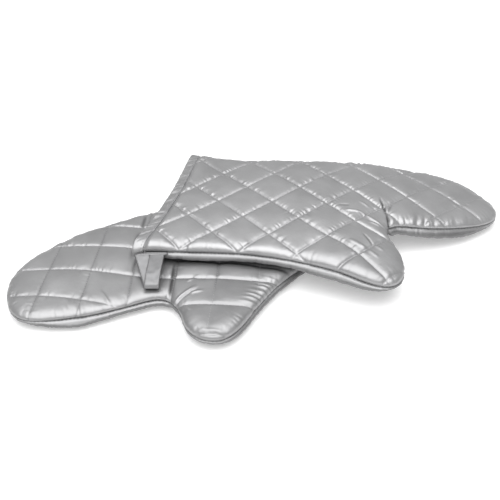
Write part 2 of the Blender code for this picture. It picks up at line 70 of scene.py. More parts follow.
LINING_THICKNESS = 0.0008
CLEARANCE = 0.0003

# Form of a padded face
FACE_HEIGHT = 0.0085  # seam plane to the quilting lines
EDGE_ROLL = 0.015  # width over which a face curves down to the seam
EDGE_SQUARENESS = 2.6
DIP_WIDTH = 0.060
DIP_START = 0.030  # over which a face's dip starts, from the cuff's tape
THUMB_START_SHARES = (0.45, 0.02)  # of LENGTH and of CUFF_WIDTH: where the thumb starts
THUMB_RUN_SHARES = (0.12, 0.18)  # over what length it does
THUMB_FLATNESS = 0.7
TIP_SHARES = (0.86, 0.14)  # of LENGTH: where the fingertips start to thin, and over what length
QUILT_PITCH = 0.0390
QUILT_ANGLE = math.radians(36.8)
QUILT_LEAN_SHARE = 0.045
LEAN_START_SHARE = 0.27  # of LENGTH
SWELL_RISE = 0.005  # height at which a one-sided push is whole
SEAM_RECESS = 0.0015
SEAM_HALF_GAP = 0.00015
ALLOWANCE_WIDTH = 0.008
ALLOWANCE_THICKNESS = 0.002

# Cuff and loop
BINDING_WIDTH = 0.010
BINDING_THICKNESS = 0.0010
LAYER_START = BINDING_THICKNESS + CLEARANCE
STITCH_INSET = 0.0020
LOOP_PLACE = 0.017  # along the pattern, from the cuff edge
LOOP_REACH = 0.043
LOOP_TAPE_WIDTH = 0.014
LOOP_TAPE_THICKNESS = 0.0012
LOOP_LEG_SHIFT = 0.0073
LOOP_ROOT_RADIUS = 0.0012
THREAD_DIAMETER = 0.0006
LOOP_ROOT_OUT = BINDING_THICKNESS + THREAD_DIAMETER + 3 * CLEARANCE + LOOP_ROOT_RADIUS
TAB_LENGTH = 0.019
TAB_INSET = 0.0010
TAB_OUT = LOOP_ROOT_OUT - LOOP_ROOT_RADIUS - CLEARANCE

# Lying of the two mitts
PUFF_LIMIT = 0.0025  # the model's puffs rise this far
FLAT_CUT = 0.0005
REST_HEIGHT = FACE_HEIGHT + PUFF_LIMIT - FLAT_CUT
UPPER_HEIGHT = 0.0328
UPPER_DROOP = UPPER_HEIGHT - REST_HEIGHT
DROOP_START_SHARE = 0.56  # of LENGTH
DROOP_POWER = 1.6
THUMB_SAG = 0.005
SAG_ACROSS_SHARE = 0.4  # of CUFF_WIDTH
SAG_START_SHARE = 0.3  # of LENGTH
SAG_END_SHARE = 0.7

Placement = namedtuple(
    "Placement",
    "name place_shares yaw facing quilt_shares quilt_depths droop_share loop_skew loop_droop "
    "dirt line_dirt nudges gathers",
)
# How far a face lies lower beside the seam and at the tip, and swells out past the seam
FaceForm = namedtuple("FaceForm", "dip tip_dip bulge")
FACE_FORMS = {1: FaceForm(0.0022, 0.0005, 0.0004), -1: FaceForm(-0.0010, 0.0040, 0.0026)}
# A soft push: where, how far along x, y and up, how wide, and the one side that it swells, if not both
Nudge = namedtuple("Nudge", "place_shares move reach side", defaults=(0,))
# Folds across a stretch of the seam, and how far they run in from it
Gather = namedtuple("Gather", "start_shares end_shares spacing height reach")
LOWER = Placement(
    name="lower",
    place_shares=(0.1696, 0.2472),
    yaw=math.radians(50.3),
    facing=-1,
    quilt_shares=(0.928, -0.431),
    quilt_depths=(1.0, 0.42),
    droop_share=0.0,
    loop_skew=math.radians(25),
    loop_droop=math.radians(9.3),
    # evenly darker cloth, and painted shade along its loose quilting lines
    dirt=0.13,
    line_dirt=0.45,
    nudges=(
        Nudge((0.73, -0.08), (0.0050, 0.0065, 0.0), 0.026),
        Nudge((0.87, -0.16), (0.0025, 0.0035, 0.0), 0.034),
        Nudge((0.62, -0.62), (-0.0053, -0.0051, 0.0010), 0.060),
        Nudge((0.85, -0.45), (-0.0022, -0.0018, 0.0), 0.045),
        Nudge((0.93, -0.28), (0.0038, 0.0032, -0.0010), 0.030, -1),
        Nudge((0.72, 0.08), (-0.0022, 0.0022, 0.0), 0.028, -1),
        Nudge((0.75, 0.36), (-0.0027, -0.0022, 0.0), 0.030, -1),
        Nudge((0.76, 0.21), (-0.0014, 0.0017, 0.0), 0.022, -1),
    ),
    gathers=(Gather((0.43, 0.30), (0.60, 0.39), 0.0060, 0.0010, 0.012),),
)
UPPER = Placement(
    name="upper",
    place_shares=(-0.3131, 0.1033),
    yaw=math.radians(-12.8),
    facing=1,
    quilt_shares=(0.237, -0.220),
    quilt_depths=(1.0, 1.0),
    droop_share=1.0,
    loop_skew=0.0,
    loop_droop=math.radians(13.8),
    dirt=0.0,
    line_dirt=0.0,
    nudges=(
        Nudge((0.00, 0.45), (-0.0052, -0.0005, 0.0), 0.030),
        Nudge((-0.02, -0.13), (0.0028, 0.0018, 0.0), 0.050),
        Nudge((0.40, -0.30), (0.0, 0.0, 0.0032), 0.070),
        Nudge((0.37, -0.60), (-0.0015, -0.0045, 0.0012), 0.050),
        Nudge((0.72, -0.77), (0.0005, 0.0035, -0.0030), 0.036),
        Nudge((0.85, -0.78), (0.0010, 0.0035, 0.0), 0.036),
        Nudge((1.00, -0.50), (0.0055, -0.0051, 0.0), 0.034),
        Nudge((0.71, 0.10), (0.0036, -0.0025, 0.0), 0.024),
        Nudge((0.60, 0.24), (0.0028, -0.0025, 0.0012), 0.032),
        Nudge((0.80, -0.17), (0.0008, 0.0030, -0.0020), 0.036, -1),
        Nudge((0.93, -0.30), (0.0008, 0.0030, -0.0025), 0.030, -1),
        Nudge((0.76, 0.32), (-0.0031, -0.0023, 0.0020), 0.030, -1),
        Nudge((0.20, 0.36), (0.0, 0.0020, -0.0010), 0.050, -1),
        Nudge((0.55, 0.36), (-0.0010, 0.0030, -0.0020), 0.040, -1),
    ),
    gathers=(Gather((0.93, -0.28), (0.72, -0.13), 0.0115, -0.0013, 0.011),),
)
FACES = ((1, "top"), (-1, "under"))

# Mesh
QUILT_STEPS = 24  # mesh steps across one diamond
LAYER_STEPS = 8  # the same in the wadding and the lining
EDGE_STEP = 0.0018
ROLL_STEP = 0.0015
ROLL_END = 0.0046  # inset of the last line of the rolled edge
MARGIN_SHARE = 0.55  # of a mesh step, between the rolled edge and the points inside it
WELD = 1e-9  # nearer points than this are one
TINY = 1e-12  # least length that a direction is divided by
CURVE_SAMPLES = 24
SEWING_STEP = 0.0010  # between the points of a line of thread


def smooth_step(value):
    value = np.clip(value, 0, 1)
    return value * value * (3 - 2 * value)


def bell(distance, width, power=2):
    """1 at no distance, dying out over this width."""
    return np.exp(-((distance / width) ** power))


def run_along(points):
    """Distance along a line in a plane, at each of its points."""
    return np.concatenate([[0], np.cumsum(np.hypot(*np.diff(points, axis=0).T))])


def at_stops(stops, run, points):
    """The points of a line at these distances along it."""
    return np.column_stack([np.interp(stops, run, column) for column in points.T])


def outline_curve(samples):
    """Uniform cubic B-spline through the pattern's control points."""
    control = np.array(OUTLINE_SHARES) * (LENGTH, CUFF_WIDTH)
    control = np.vstack([2 * control[0] - control[1], control, 2 * control[-1] - control[-2]])
    t = np.linspace(0, 1, samples, endpoint=False)[:, None]
    weights = ((1 - t) ** 3, 3 * t**3 - 6 * t**2 + 4, -3 * t**3 + 3 * t**2 + 3 * t + 1, t**3)
    pieces = []
    for first in range(len(control) - 3):
        span = control[first : first + 4]
        pieces.append(sum(weight * point for weight, point in zip(weights, span)) / 6)
    return np.vstack([*pieces, np.array(OUTLINE_SHARES[-1:]) * (LENGTH, CUFF_WIDTH)])


OUTLINE = outline_curve(CURVE_SAMPLES)
OUTLINE_RUN = run_along(OUTLINE)


def edge_at(x):
    """Where the seam line crosses this x, at the back and at the thumb side of the cuff."""
    quarter = len(OUTLINE) // 4
    back = np.interp(x, OUTLINE[:quarter, 0], OUTLINE[:quarter, 1])
    front = np.interp(x, OUTLINE[-quarter:, 0][::-1], OUTLINE[-quarter:, 1][::-1])
    return back, front


def edge_points(step):
    """Evenly spaced seam points and their inward normals, from the cuff's back to its thumb side."""
    quarter = len(OUTLINE) // 4
    first = np.interp(LAYER_START, OUTLINE[:quarter, 0], OUTLINE_RUN[:quarter])
    last = np.interp(LAYER_START, OUTLINE[-quarter:, 0][::-1], OUTLINE_RUN[-quarter:][::-1])
    places = np.linspace(first, last, int(round((last - first) / step)) + 1)
    points = at_stops(places, OUTLINE_RUN, OUTLINE)
    along = np.gradient(points, axis=0)
    along /= np.hypot(*along.T)[:, None]
    normals = np.column_stack([-along[:, 1], along[:, 0]])
    square = 1 - smooth_step((points[:, :1] - LAYER_START) / BINDING_WIDTH)
    across = np.column_stack([0 * points[:, 0], -np.sign(points[:, 1])])
    normals = normals * (1 - square) + square * across
    return points, normals / np.hypot(*normals.T)[:, None]


POINTS_AT_ONCE = 2000


def nearest_edge(points):
    """Distance of pattern points from the seam line, and the nearest place along it."""
    start, run = OUTLINE[:-1], np.diff(OUTLINE, axis=0)
    length = np.hypot(*run.T)
    distances, places = [], []
    for part in np.array_split(points, len(points) // POINTS_AT_ONCE + 1):
        offset = part[:, None] - start
        share = np.clip((offset * run).sum(-1) / length**2, 0, 1)
        gap = ((offset - share[..., None] * run) ** 2).sum(-1)
        best = gap.argmin(1)
        row = np.arange(len(part))
        distances.append(np.sqrt(gap[row, best]))
        places.append(OUTLINE_RUN[best] + share[row, best] * length[best])
    return np.concatenate(distances), np.concatenate(places)


def inside_outline(points):
    corner = OUTLINE
    after = np.roll(corner, -1, axis=0)
    x, y = points[:, :1], points[:, 1:]
    crosses = (corner[:, 1] > y) != (after[:, 1] > y)
    rise = np.where(after[:, 1] == corner[:, 1], 1, after[:, 1] - corner[:, 1])
    at = corner[:, 0] + (y - corner[:, 1]) * (after[:, 0] - corner[:, 0]) / rise
    return (crosses & (x < at)).sum(1) % 2 == 1


def squared(share):
    """Height of the rolled edge as a share of the face's, 1 on the top and 0 at the seam."""
    return (1 - share**EDGE_SQUARENESS) ** (1 / EDGE_SQUARENESS)


def rounded_edge(reach, rise, steps):
    """Quarter of a rounded edge, from its side to its top: how far in, and how high."""
    turn = np.linspace(0, math.pi / 2, steps)
    power = 2 / EDGE_SQUARENESS
    return reach * (1 - np.cos(turn) ** power), rise * np.sin(turn) ** power


def past_binding(x):
    """0 under the cuff's tape and 1 farther up the mitt."""
    return smooth_step((x - BINDING_WIDTH) / DIP_START)


def fingertip(x):
    """0 on the mitt and 1 at the fingertips."""
    return smooth_step((x / LENGTH - TIP_SHARES[0]) / TIP_SHARES[1])


def thumb(flat):
    """0 on the hand and 1 on the thumb."""
    return smooth_step((flat / (LENGTH, CUFF_WIDTH) - THUMB_START_SHARES) / THUMB_RUN_SHARES).prod(1)


def crown(distance, flat, side):
    """Height of a face's quilting lines over the seam plane, at this distance from the seam."""
    form = FACE_FORMS[side]
    share = 1 - np.clip(distance / EDGE_ROLL, 0, 1)
    fade = (1 - smooth_step(distance / DIP_WIDTH)) * past_binding(flat[:, 0])
    dip = (form.dip * (1 - THUMB_FLATNESS * thumb(flat)) + form.tip_dip * fingertip(flat[:, 0])) * fade
    return (FACE_HEIGHT - dip) * squared(share)


TUCK_SHARE = 0.28  # of FACE_HEIGHT: up to where the edge tucks in under its roll, to the seam


def roll_profile(step):
    """The rolled edge from the seam up to the top: insets, shares of height and shares of its bulge."""
    inset, height = rounded_edge(EDGE_ROLL, FACE_HEIGHT, 200)
    keep = (height > TUCK_SHARE * FACE_HEIGHT) & (inset < ROLL_END)
    inset, height = inset[keep], height[keep]
    tuck = np.linspace(0, math.pi / 2, 30, endpoint=False)
    tuck_inset = inset[0] + (SEAM_RECESS - inset[0]) * (1 - np.sin(tuck))
    tuck_height = SEAM_HALF_GAP + (height[0] - SEAM_HALF_GAP) * (1 - np.cos(tuck))
    inset = np.concatenate([tuck_inset, inset, [ROLL_END]])
    height = np.concatenate([tuck_height, height, [FACE_HEIGHT * squared(1 - ROLL_END / EDGE_ROLL)]])
    profile = np.column_stack([inset, height])
    run = run_along(profile)
    stops = np.linspace(0, run[-1], int(round(run[-1] / step)) + 1)
    inset, height = at_stops(stops, run, profile).T
    bulge = np.sin(math.pi * np.clip(height / height[-1], 0, 1)) ** 0.8
    return np.column_stack([inset, height / FACE_HEIGHT, bulge])


def lean(x):
    """Sideways shift of the quilting where the fingers lean away from the thumb."""
    start = LEAN_START_SHARE * LENGTH
    return -QUILT_LEAN_SHARE * np.clip(x - start, 0, None) ** 2 / (LENGTH - start)


def quilt_axes():
    c, s = math.cos(QUILT_ANGLE), math.sin(QUILT_ANGLE)
    return np.array([(c, s), (-s, c)])


def quilt_cells(points, origin):
    """Places of pattern points in the diamonds, in pitches along both directions of quilting."""
    straight = points - np.column_stack([0 * points[:, 0], lean(points[:, 0])])
    return (straight - origin) @ quilt_axes().T / QUILT_PITCH


def cell_points(cells, origin):
    """Pattern points at these places in the diamonds."""
    points = cells * QUILT_PITCH @ quilt_axes() + origin
    points[:, 1] += lean(points[:, 0])
    return points


def quilt_lattice(origin, steps, inset, start):
    """Mesh points on and between the quilting lines, farther from the seam than inset, and their numbers."""
    reach = int(2 * LENGTH / QUILT_PITCH) * steps
    counts = np.arange(-reach, reach)
    numbers = np.stack(np.meshgrid(counts, counts, indexing="ij"), -1).reshape(-1, 2)
    points = cell_points(numbers / steps, origin)
    low, high = OUTLINE.min(0), OUTLINE.max(0)
    near = ((points > low) & (points < high)).all(1) & (points[:, 0] > start)
    points, numbers = points[near], numbers[near]
    within = inside_outline(points)
    points, numbers = points[within], numbers[within]
    clear = nearest_edge(points)[0] > inset
    return points[clear], numbers[clear]


NOISE_CELLS = 64
COVER_TOP = FACE_HEIGHT + PUFF_LIMIT  # highest points of a cover over the seam plane, almost


def seeded_noise(points, scale, seed):
    """Smooth noise from -1 to 1 over points in a plane, with features of about this size."""
    table = np.random.default_rng(seed).uniform(-1, 1, (NOISE_CELLS, NOISE_CELLS))
    place = np.asarray(points) / scale
    cell = np.floor(place).astype(int)
    along, across = smooth_step(place - cell).T
    i, j = cell.T % NOISE_CELLS
    after, beside = (i + 1) % NOISE_CELLS, (j + 1) % NOISE_CELLS
    near = table[i, j] + along * (table[after, j] - table[i, j])
    far = table[i, beside] + along * (table[after, beside] - table[i, beside])
    return near + across * (far - near)


def gathered(points, scale, seed):
    """Folds of drawn-in cloth, from about -1 to 1: round ridges with sharp valleys."""
    return 2.4 * np.abs(seeded_noise(points, scale, seed)) - 0.9


def uneven(run, scale, seed, middle=0, spread=1):
    """Smooth noise along a line, up to spread away from middle."""
    return middle + spread * seeded_noise(np.column_stack([run, 0 * run]), scale, seed)


def ridge(points, start, end, width, fade=0.35):
    """A soft ridge of height 1 along a line, thinning out towards its two ends."""
    start, end = np.array(start), np.array(end)
    run = end - start
    length = np.hypot(*run)
    share = (points - start) @ run / length**2
    across = np.abs((points - start) @ np.array([-run[1], run[0]]) / length)
    ends = smooth_step(share / fade) * smooth_step((1 - share) / fade)
    return bell(across, width) * ends


class Mitt:
    """One mitt: its placement, and the shapes drawn in its pattern plane."""

    def __init__(self, placement):
        self.at = placement
        self.place = np.array(placement.place_shares) * LENGTH
        self.quilt_origin = np.array(placement.quilt_shares) * (LENGTH, CUFF_WIDTH)
        self.glove = placement.name + "_glove"
        self.loop = placement.name + "_loop"

    def name(self, piece):
        return f"{self.at.name}_{piece}"

    def seam_height(self, x, y):
        """Height of the seam plane over the table."""
        start = DROOP_START_SHARE * LENGTH
        bend = UPPER_DROOP * np.clip((x - start) / (LENGTH - start), 0, None) ** DROOP_POWER
        along = smooth_step((x / LENGTH - SAG_START_SHARE) / (SAG_END_SHARE - SAG_START_SHARE))
        sag = THUMB_SAG * smooth_step(y / CUFF_WIDTH / SAG_ACROSS_SHARE) * along
        return REST_HEIGHT + self.at.droop_share * (UPPER_DROOP - bend - sag)

    def nudged(self, points, side):
        """Pattern points after the mitt's soft pushes, with their lifts."""
        flat = points[:, :2]
        moved = np.column_stack([flat, np.zeros(len(flat))])
        for nudge in self.at.nudges:
            gap = flat - np.array(nudge.place_shares) * (LENGTH, CUFF_WIDTH)
            share = np.exp(-(gap**2).sum(1) / nudge.reach**2)
            if nudge.side:
                share *= smooth_step(points[:, 2] / SWELL_RISE) * (nudge.side == side)
            moved += share[:, None] * nudge.move
        return moved

    def turned(self, flat):
        """Pattern points or directions, turned as the mitt lies."""
        x, y = self.at.facing * flat[..., 0], -flat[..., 1]
        c, s = math.cos(self.at.yaw), math.sin(self.at.yaw)
        return np.stack([c * x - s * y, s * x + c * y], -1)

    def world(self, points, side=1):
        """Pattern points with heights over the seam plane, on the top or under side, as laid down."""
        moved = self.nudged(points, side)
        z = self.seam_height(points[:, 0], points[:, 1]) + moved[:, 2] + side * points[:, 2]
        return np.column_stack([self.turned(moved) + self.place, np.maximum(z, 0)])

    def heading(self, vector):
        """A pattern direction, as laid down."""
        return np.array([*self.turned(vector), 0.0])

    def seam_frame(self, x):
        """Point of the thumb-side seam at this x, with the direction along the seam and the way out."""
        side = OUTLINE[len(OUTLINE) // 2 :][::-1]
        near = int(np.argmax(side[:, 0] > x))
        along = side[near] - side[near - 1]
        along /= np.hypot(*along)
        out = np.array([-along[1], along[0]])
        return side[near - 1] + along * (x - side[near - 1][0]) / along[0], along, out


MITTS = (Mitt(LOWER), Mitt(UPPER))


Panel = namedtuple("Panel", "flat height faces distance run cells quilted ring_count")


def strip_faces(rows, columns, closed=False):
    """Faces of a grid of points, row by row; closed joins each row's end to its start."""
    faces = []
    for row in range(rows - 1):
        for column in range(columns if closed else columns - 1):
            beside = (column + 1) % columns
            low, high = row * columns, (row + 1) * columns
            faces.append((low + column, low + beside, high + beside, high + column))
    return faces


def tube_faces(rows, columns):
    """Faces of a tube of closed rows, with both of its ends."""
    last = (rows - 1) * columns
    ends = [tuple(range(columns))[::-1], tuple(last + i for i in range(columns))]
    return strip_faces(rows, columns, closed=True) + ends


def lattice_squares(numbers, first):
    """Squares between the lattice points, which count from first, and the numbers of their first corners."""
    place = {tuple(number): first + i for i, number in enumerate(numbers)}
    squares, cells = [], set()
    for i, j in place:
        corners = [place.get(key) for key in ((i, j), (i + 1, j), (i + 1, j + 1), (i, j + 1))]
        if None not in corners:
            squares.append(tuple(corners))
            cells.add((i, j))
    return squares, cells


def build_panel(origin, steps, rows, start, side):
    """A face of a mitt in its pattern plane: the rolled edge in rows, then a top that follows the quilting.

    Rows are insets, shares of the face's height and shares of its bulge.
    """
    edge, normals = edge_points(EDGE_STEP * QUILT_STEPS / steps)
    count = len(edge)
    bulge = FACE_FORMS[side].bulge * (1 - fingertip(edge[:, :1])) * past_binding(edge[:, :1])
    flat = [edge + normals * (inset - bulge * swell) for inset, _, swell in rows]
    step = QUILT_PITCH / steps
    mouth_steps = int(CUFF_WIDTH / step)
    shares = np.arange(1, mouth_steps)[:, None] / mouth_steps
    mouth = flat[-1][-1] + (flat[-1][0] - flat[-1][-1]) * shares
    margin = MARGIN_SHARE * step
    inner, numbers = quilt_lattice(origin, steps, rows[-1][0] + margin, start + margin)
    first = count + len(mouth)
    top = np.vstack([flat[-1], mouth, inner])
    rim = [list(range(first))]
    _, _, triangles, origins, _, _ = delaunay_2d_cdt([tuple(p) for p in top], [], rim, 1, WELD)
    base = (len(rows) - 1) * count
    faces = strip_faces(len(rows), count)
    squares, cells = lattice_squares(numbers, first)
    faces += [tuple(base + corner for corner in square) for square in squares]
    for triangle in triangles:
        corners = [origins[corner][0] for corner in triangle]
        if min(corners) >= first:
            counts = numbers[np.array(corners) - first]
            low, high = counts.min(0), counts.max(0)
            if (high - low).max() == 1 and tuple(low) in cells:
                continue
        faces.append(tuple(base + corner for corner in corners))
    points = np.vstack([*flat[:-1], top])
    distance, run = nearest_edge(points)
    height = crown(distance, points, side)
    unrolled = points.copy()
    lengths = np.hypot(*np.diff(rows[:, :2] * (1, FACE_HEIGHT), axis=0).T)
    for row, (inset, share, _) in enumerate(rows[:-1]):
        ring = slice(row * count, (row + 1) * count)
        height[ring] = share * crown(inset, points[ring], side) / squared(1 - inset / EDGE_ROLL)
        unrolled[ring] = edge + normals * (rows[-1][0] - lengths[row:].sum())
    quilted = np.zeros((len(points), 2), bool)
    stitched = numbers % steps == 0
    even = numbers[:, ::-1] % 2 == 0
    quilted[len(points) - len(inner) :] = stitched & even
    cells = quilt_cells(unrolled, origin)
    return Panel(points, height, faces, distance, run, cells, quilted.any(1), base + count)


def by_corners(faces):
    """The triangles and the four-sided faces, as two tables."""
    return [
        np.array([face for face in faces if len(face) == size], int).reshape(-1, size) for size in (3, 4)
    ]


def refined(values, faces):
    """One Catmull-Clark step: the table of values at a mesh's points and its faces, both made finer."""
    groups = by_corners(faces)
    centres = np.vstack([values[group].mean(1) for group in groups])
    owners = np.repeat(np.arange(len(centres)), np.repeat((3, 4), [len(group) for group in groups]))
    ends = np.vstack([np.stack([group, np.roll(group, -1, axis=1)], -1).reshape(-1, 2) for group in groups])
    edges, which = np.unique(np.sort(ends, axis=1), axis=0, return_inverse=True)
    which = which.ravel()
    middles = values[edges].mean(1)
    rim = np.bincount(which, minlength=len(edges)) == 1
    beside = np.zeros_like(middles)
    np.add.at(beside, which, centres[owners])
    halves = np.where(rim[:, None], middles, (2 * middles + beside) / 4)
    count = len(values)
    valence = np.bincount(edges.ravel(), minlength=count)[:, None]
    around = np.zeros_like(values)
    np.add.at(around, ends[:, 0], centres[owners])
    uses = np.bincount(ends[:, 0], minlength=count)[:, None]
    spokes, hem = np.zeros_like(values), np.zeros_like(values)
    for side in (0, 1):
        np.add.at(spokes, edges[:, side], middles)
        np.add.at(hem, edges[rim, side], middles[rim])
    kept = (around / np.maximum(uses, 1) + 2 * spokes / valence + (valence - 3) * values) / valence
    on_rim = np.zeros(count, bool)
    on_rim[edges[rim].ravel()] = True
    kept[on_rim] = hem[on_rim] / 4 + values[on_rim] / 2
    split = groups[0].size
    rings = which[:split].reshape(-1, 3), which[split:].reshape(-1, 4)
    before = np.concatenate([np.roll(ring, 1, axis=1).ravel() for ring in rings])
    finer = np.column_stack([ends[:, 0], count + which, count + len(edges) + owners, count + before])
    return np.vstack([kept, halves, centres]), [tuple(face) for face in finer.tolist()]


def line_gaps(cells):
    """Distance from the nearest quilting line of each direction."""
    part = cells - np.floor(cells)
    return np.minimum(part, 1 - part) * QUILT_PITCH


def flanks(cells, channel, depths):
    """Height beside the quilting lines, from 0 on a line to 1; depths are 1 where lines are pulled tight."""
    slope = 1 - (1 - np.tanh(line_gaps(cells) / channel)) * depths
    return slope.prod(1)


DOME_POWER = 0.6  # lower is flatter on top
DOME_SHARES = (0.55, 0.45)  # of the height: in a diamond's corners, and from there to its middle


def puff_form(cells, channel, depths=(1, 1)):
    """Height of the padded diamonds from 0 on a quilting line to 1, with nearly flat tops."""
    part = cells - np.floor(cells)
    dome = (1 - (1 - (4 * part * (1 - part)) ** DOME_POWER) * depths).prod(1)
    return flanks(cells, channel, depths) * (DOME_SHARES[0] + DOME_SHARES[1] * dome)


LOOSE_SHARES = (0.08, 0.12)  # of CUFF_WIDTH: from where loose lines fade out, and over what length


def line_depths(flat, mitt):
    """How tight the two directions of quilting are pulled, from 0 to 1; loose across a flat thumb."""
    depths = np.tile(mitt.at.quilt_depths, (len(flat), 1))
    if mitt.at.quilt_depths[1] < 1:
        depths[:, 1] *= 1 - smooth_step((flat[:, 1] / CUFF_WIDTH - LOOSE_SHARES[0]) / LOOSE_SHARES[1])
    return depths


def mesh_object(name, points, faces):
    """An object from points and faces, with its faces turned the same way."""
    mesh = bpy.data.meshes.new(name)
    mesh.from_pydata(np.asarray(points, float).tolist(), [], [tuple(map(int, face)) for face in faces])
    obj = bpy.data.objects.new(name, mesh)
    bpy.context.scene.collection.objects.link(obj)
    mesh.shade_smooth()
    return obj


# Cloth that settles between its stitches; the simulation works in hundredths of a metre
CLOTH_SCALE = 100.0
CLOTH_FRAMES = 20
CLOTH = {
    "quality": 5,
    "mass": 0.02,
    "air_damping": 4,
    "tension_stiffness": 400.0,
    "compression_stiffness": 400.0,
    "shear_stiffness": 60.0,
    "bending_stiffness": 0.6,
    "vertex_group_mass": "pins",
    "vertex_group_shrink": "slack",
    "shrink_min": -0.006,  # the least and the most spare cloth, as shares of its length
    "shrink_max": -0.030,
    "use_pressure": True,
    "uniform_pressure_force": 1.2,
}


def inflate(jobs):
    """Lets padded cloth settle between its pinned stitches: (points, faces, pins, slack) in, points out."""
    scene = bpy.context.scene
    cloths = []
    for number, (points, faces, pins, slack) in enumerate(jobs):
        obj = mesh_object(f"cloth_{number}", points * CLOTH_SCALE, faces)
        obj.vertex_groups.new(name="pins").add([int(i) for i in np.flatnonzero(pins)], 1.0, "REPLACE")
        loose = obj.vertex_groups.new(name="slack")
        for i, weight in enumerate(slack):
            loose.add([i], float(weight), "REPLACE")
        cloth = obj.modifiers.new("cloth", "CLOTH")
        for setting, value in CLOTH.items():
            setattr(cloth.settings, setting, value)
        cloth.settings.effector_weights.gravity = 0
        cloth.collision_settings.use_collision = False
        cloth.point_cache.frame_end = CLOTH_FRAMES
        cloths.append(obj)
    for number in range(1, CLOTH_FRAMES + 1):
        scene.frame_set(number)
    graph = bpy.context.evaluated_depsgraph_get()
    settled = []
    for obj in cloths:
        mesh = obj.evaluated_get(graph).data
        found = np.zeros(len(mesh.vertices) * 3)
        mesh.vertices.foreach_get("co", found)
        settled.append(found.reshape(-1, 3) / CLOTH_SCALE)
    for obj in cloths:
        bpy.data.objects.remove(obj, do_unlink=True)
    scene.frame_set(1)
    return settled


def surface_normals(points, faces):
    """Upward normal at each point of a face of a mitt, from the mesh faces round it."""
    normals = np.zeros_like(points)
    for group in by_corners(faces):
        a, b, c = points[group[:, 0]], points[group[:, 1]], points[group[:, -1]]
        turned = np.cross(b - a, c - a)
        for corners in group.T:
            np.add.at(normals, corners, turned)
    normals *= np.sign(normals[:, 2].sum())
    return normals / np.maximum(np.linalg.norm(normals, axis=1), TINY)[:, None]


# Puckers across the seam: fine ones, and broad ones of this many fine spacings
SEAM_FINE_REACH = 0.008  # how far they run in from the seam
SEAM_BROAD_REACH = 0.012
SEAM_BROAD_SHARE = 2.1
SEAM_PUCKER_RISE = 0.0035  # of the face's height, over which they grow
SEAM_PATCH = 0.030  # size of the stretches with more and with fewer puckers


def seam_puckers(distance, run, height, seed, settings):
    """Folds across the seam, where the two faces are drawn together: fine ones and a few long ones."""
    spacing = settings.seam_pucker_spacing
    fine = gathered(np.column_stack([run, 0.15 * distance]), spacing, seed)
    slanting = np.column_stack([run + 0.4 * distance, 0.1 * distance])
    broad = gathered(slanting, SEAM_BROAD_SHARE * spacing, seed + 1)
    folds = 0.8 * fine * bell(distance, SEAM_FINE_REACH) + 0.9 * broad * bell(distance, SEAM_BROAD_REACH)
    patches = uneven(run, SEAM_PATCH, seed + 2, 0.65, 0.6)
    return settings.seam_pucker_height * folds * patches * smooth_step(height / SEAM_PUCKER_RISE)


def gather_folds(gather, distance, run, seed):
    """Narrow folds across a stretch of the seam, uneven in place and height; negative ones are valleys."""
    low, high = sorted(nearest_edge(np.array(gather[:2]) * (LENGTH, CUFF_WIDTH))[1])
    margin = 1.5 * gather.spacing
    window = smooth_step((run - low) / margin) * smooth_step((high - run) / margin)
    slant = run + 0.35 * distance
    jitter = 0.30 * gather.spacing * uneven(slant, 1.7 * gather.spacing, seed + 11)
    wave = np.abs(np.cos(math.pi * (slant + jitter) / gather.spacing)) ** 3 - 0.35
    heights = uneven(run, 1.3 * gather.spacing, seed + 12, 0.75, 0.5)
    return gather.height * wave * heights * window * bell(distance, gather.reach, 3)


# Puckers beside the quilting lines
PUCKER_START = 0.0012  # from the line to where they are full
PUCKER_REACH = 0.0050  # and to where they have died out
PUCKER_PATCH = 0.016


def channel_puckers(cells, depths, seed, settings):
    """Small folds that run away from the quilting lines, where the stitches draw the cloth in."""
    gaps = line_gaps(cells)
    spacing = settings.pucker_spacing
    total = np.zeros(len(gaps))
    for direction in (0, 1):
        along = cells[:, 1 - direction] * QUILT_PITCH
        line = np.floor(cells[:, direction] + 0.5)
        side = 0.31 * np.sign(cells[:, direction] - line)
        gap = gaps[:, direction]
        folds = gathered(np.column_stack([along, (2.7 * line + side) * spacing]), spacing, seed + direction)
        place = np.column_stack([along, 40 * line * spacing])
        patches = 0.6 + 0.7 * seeded_noise(place, PUCKER_PATCH, seed + 7 + direction)
        folds = depths[:, direction] * folds * patches
        total += folds * np.tanh(gap / PUCKER_START) * bell(gap, PUCKER_REACH)
    return settings.pucker_height * total
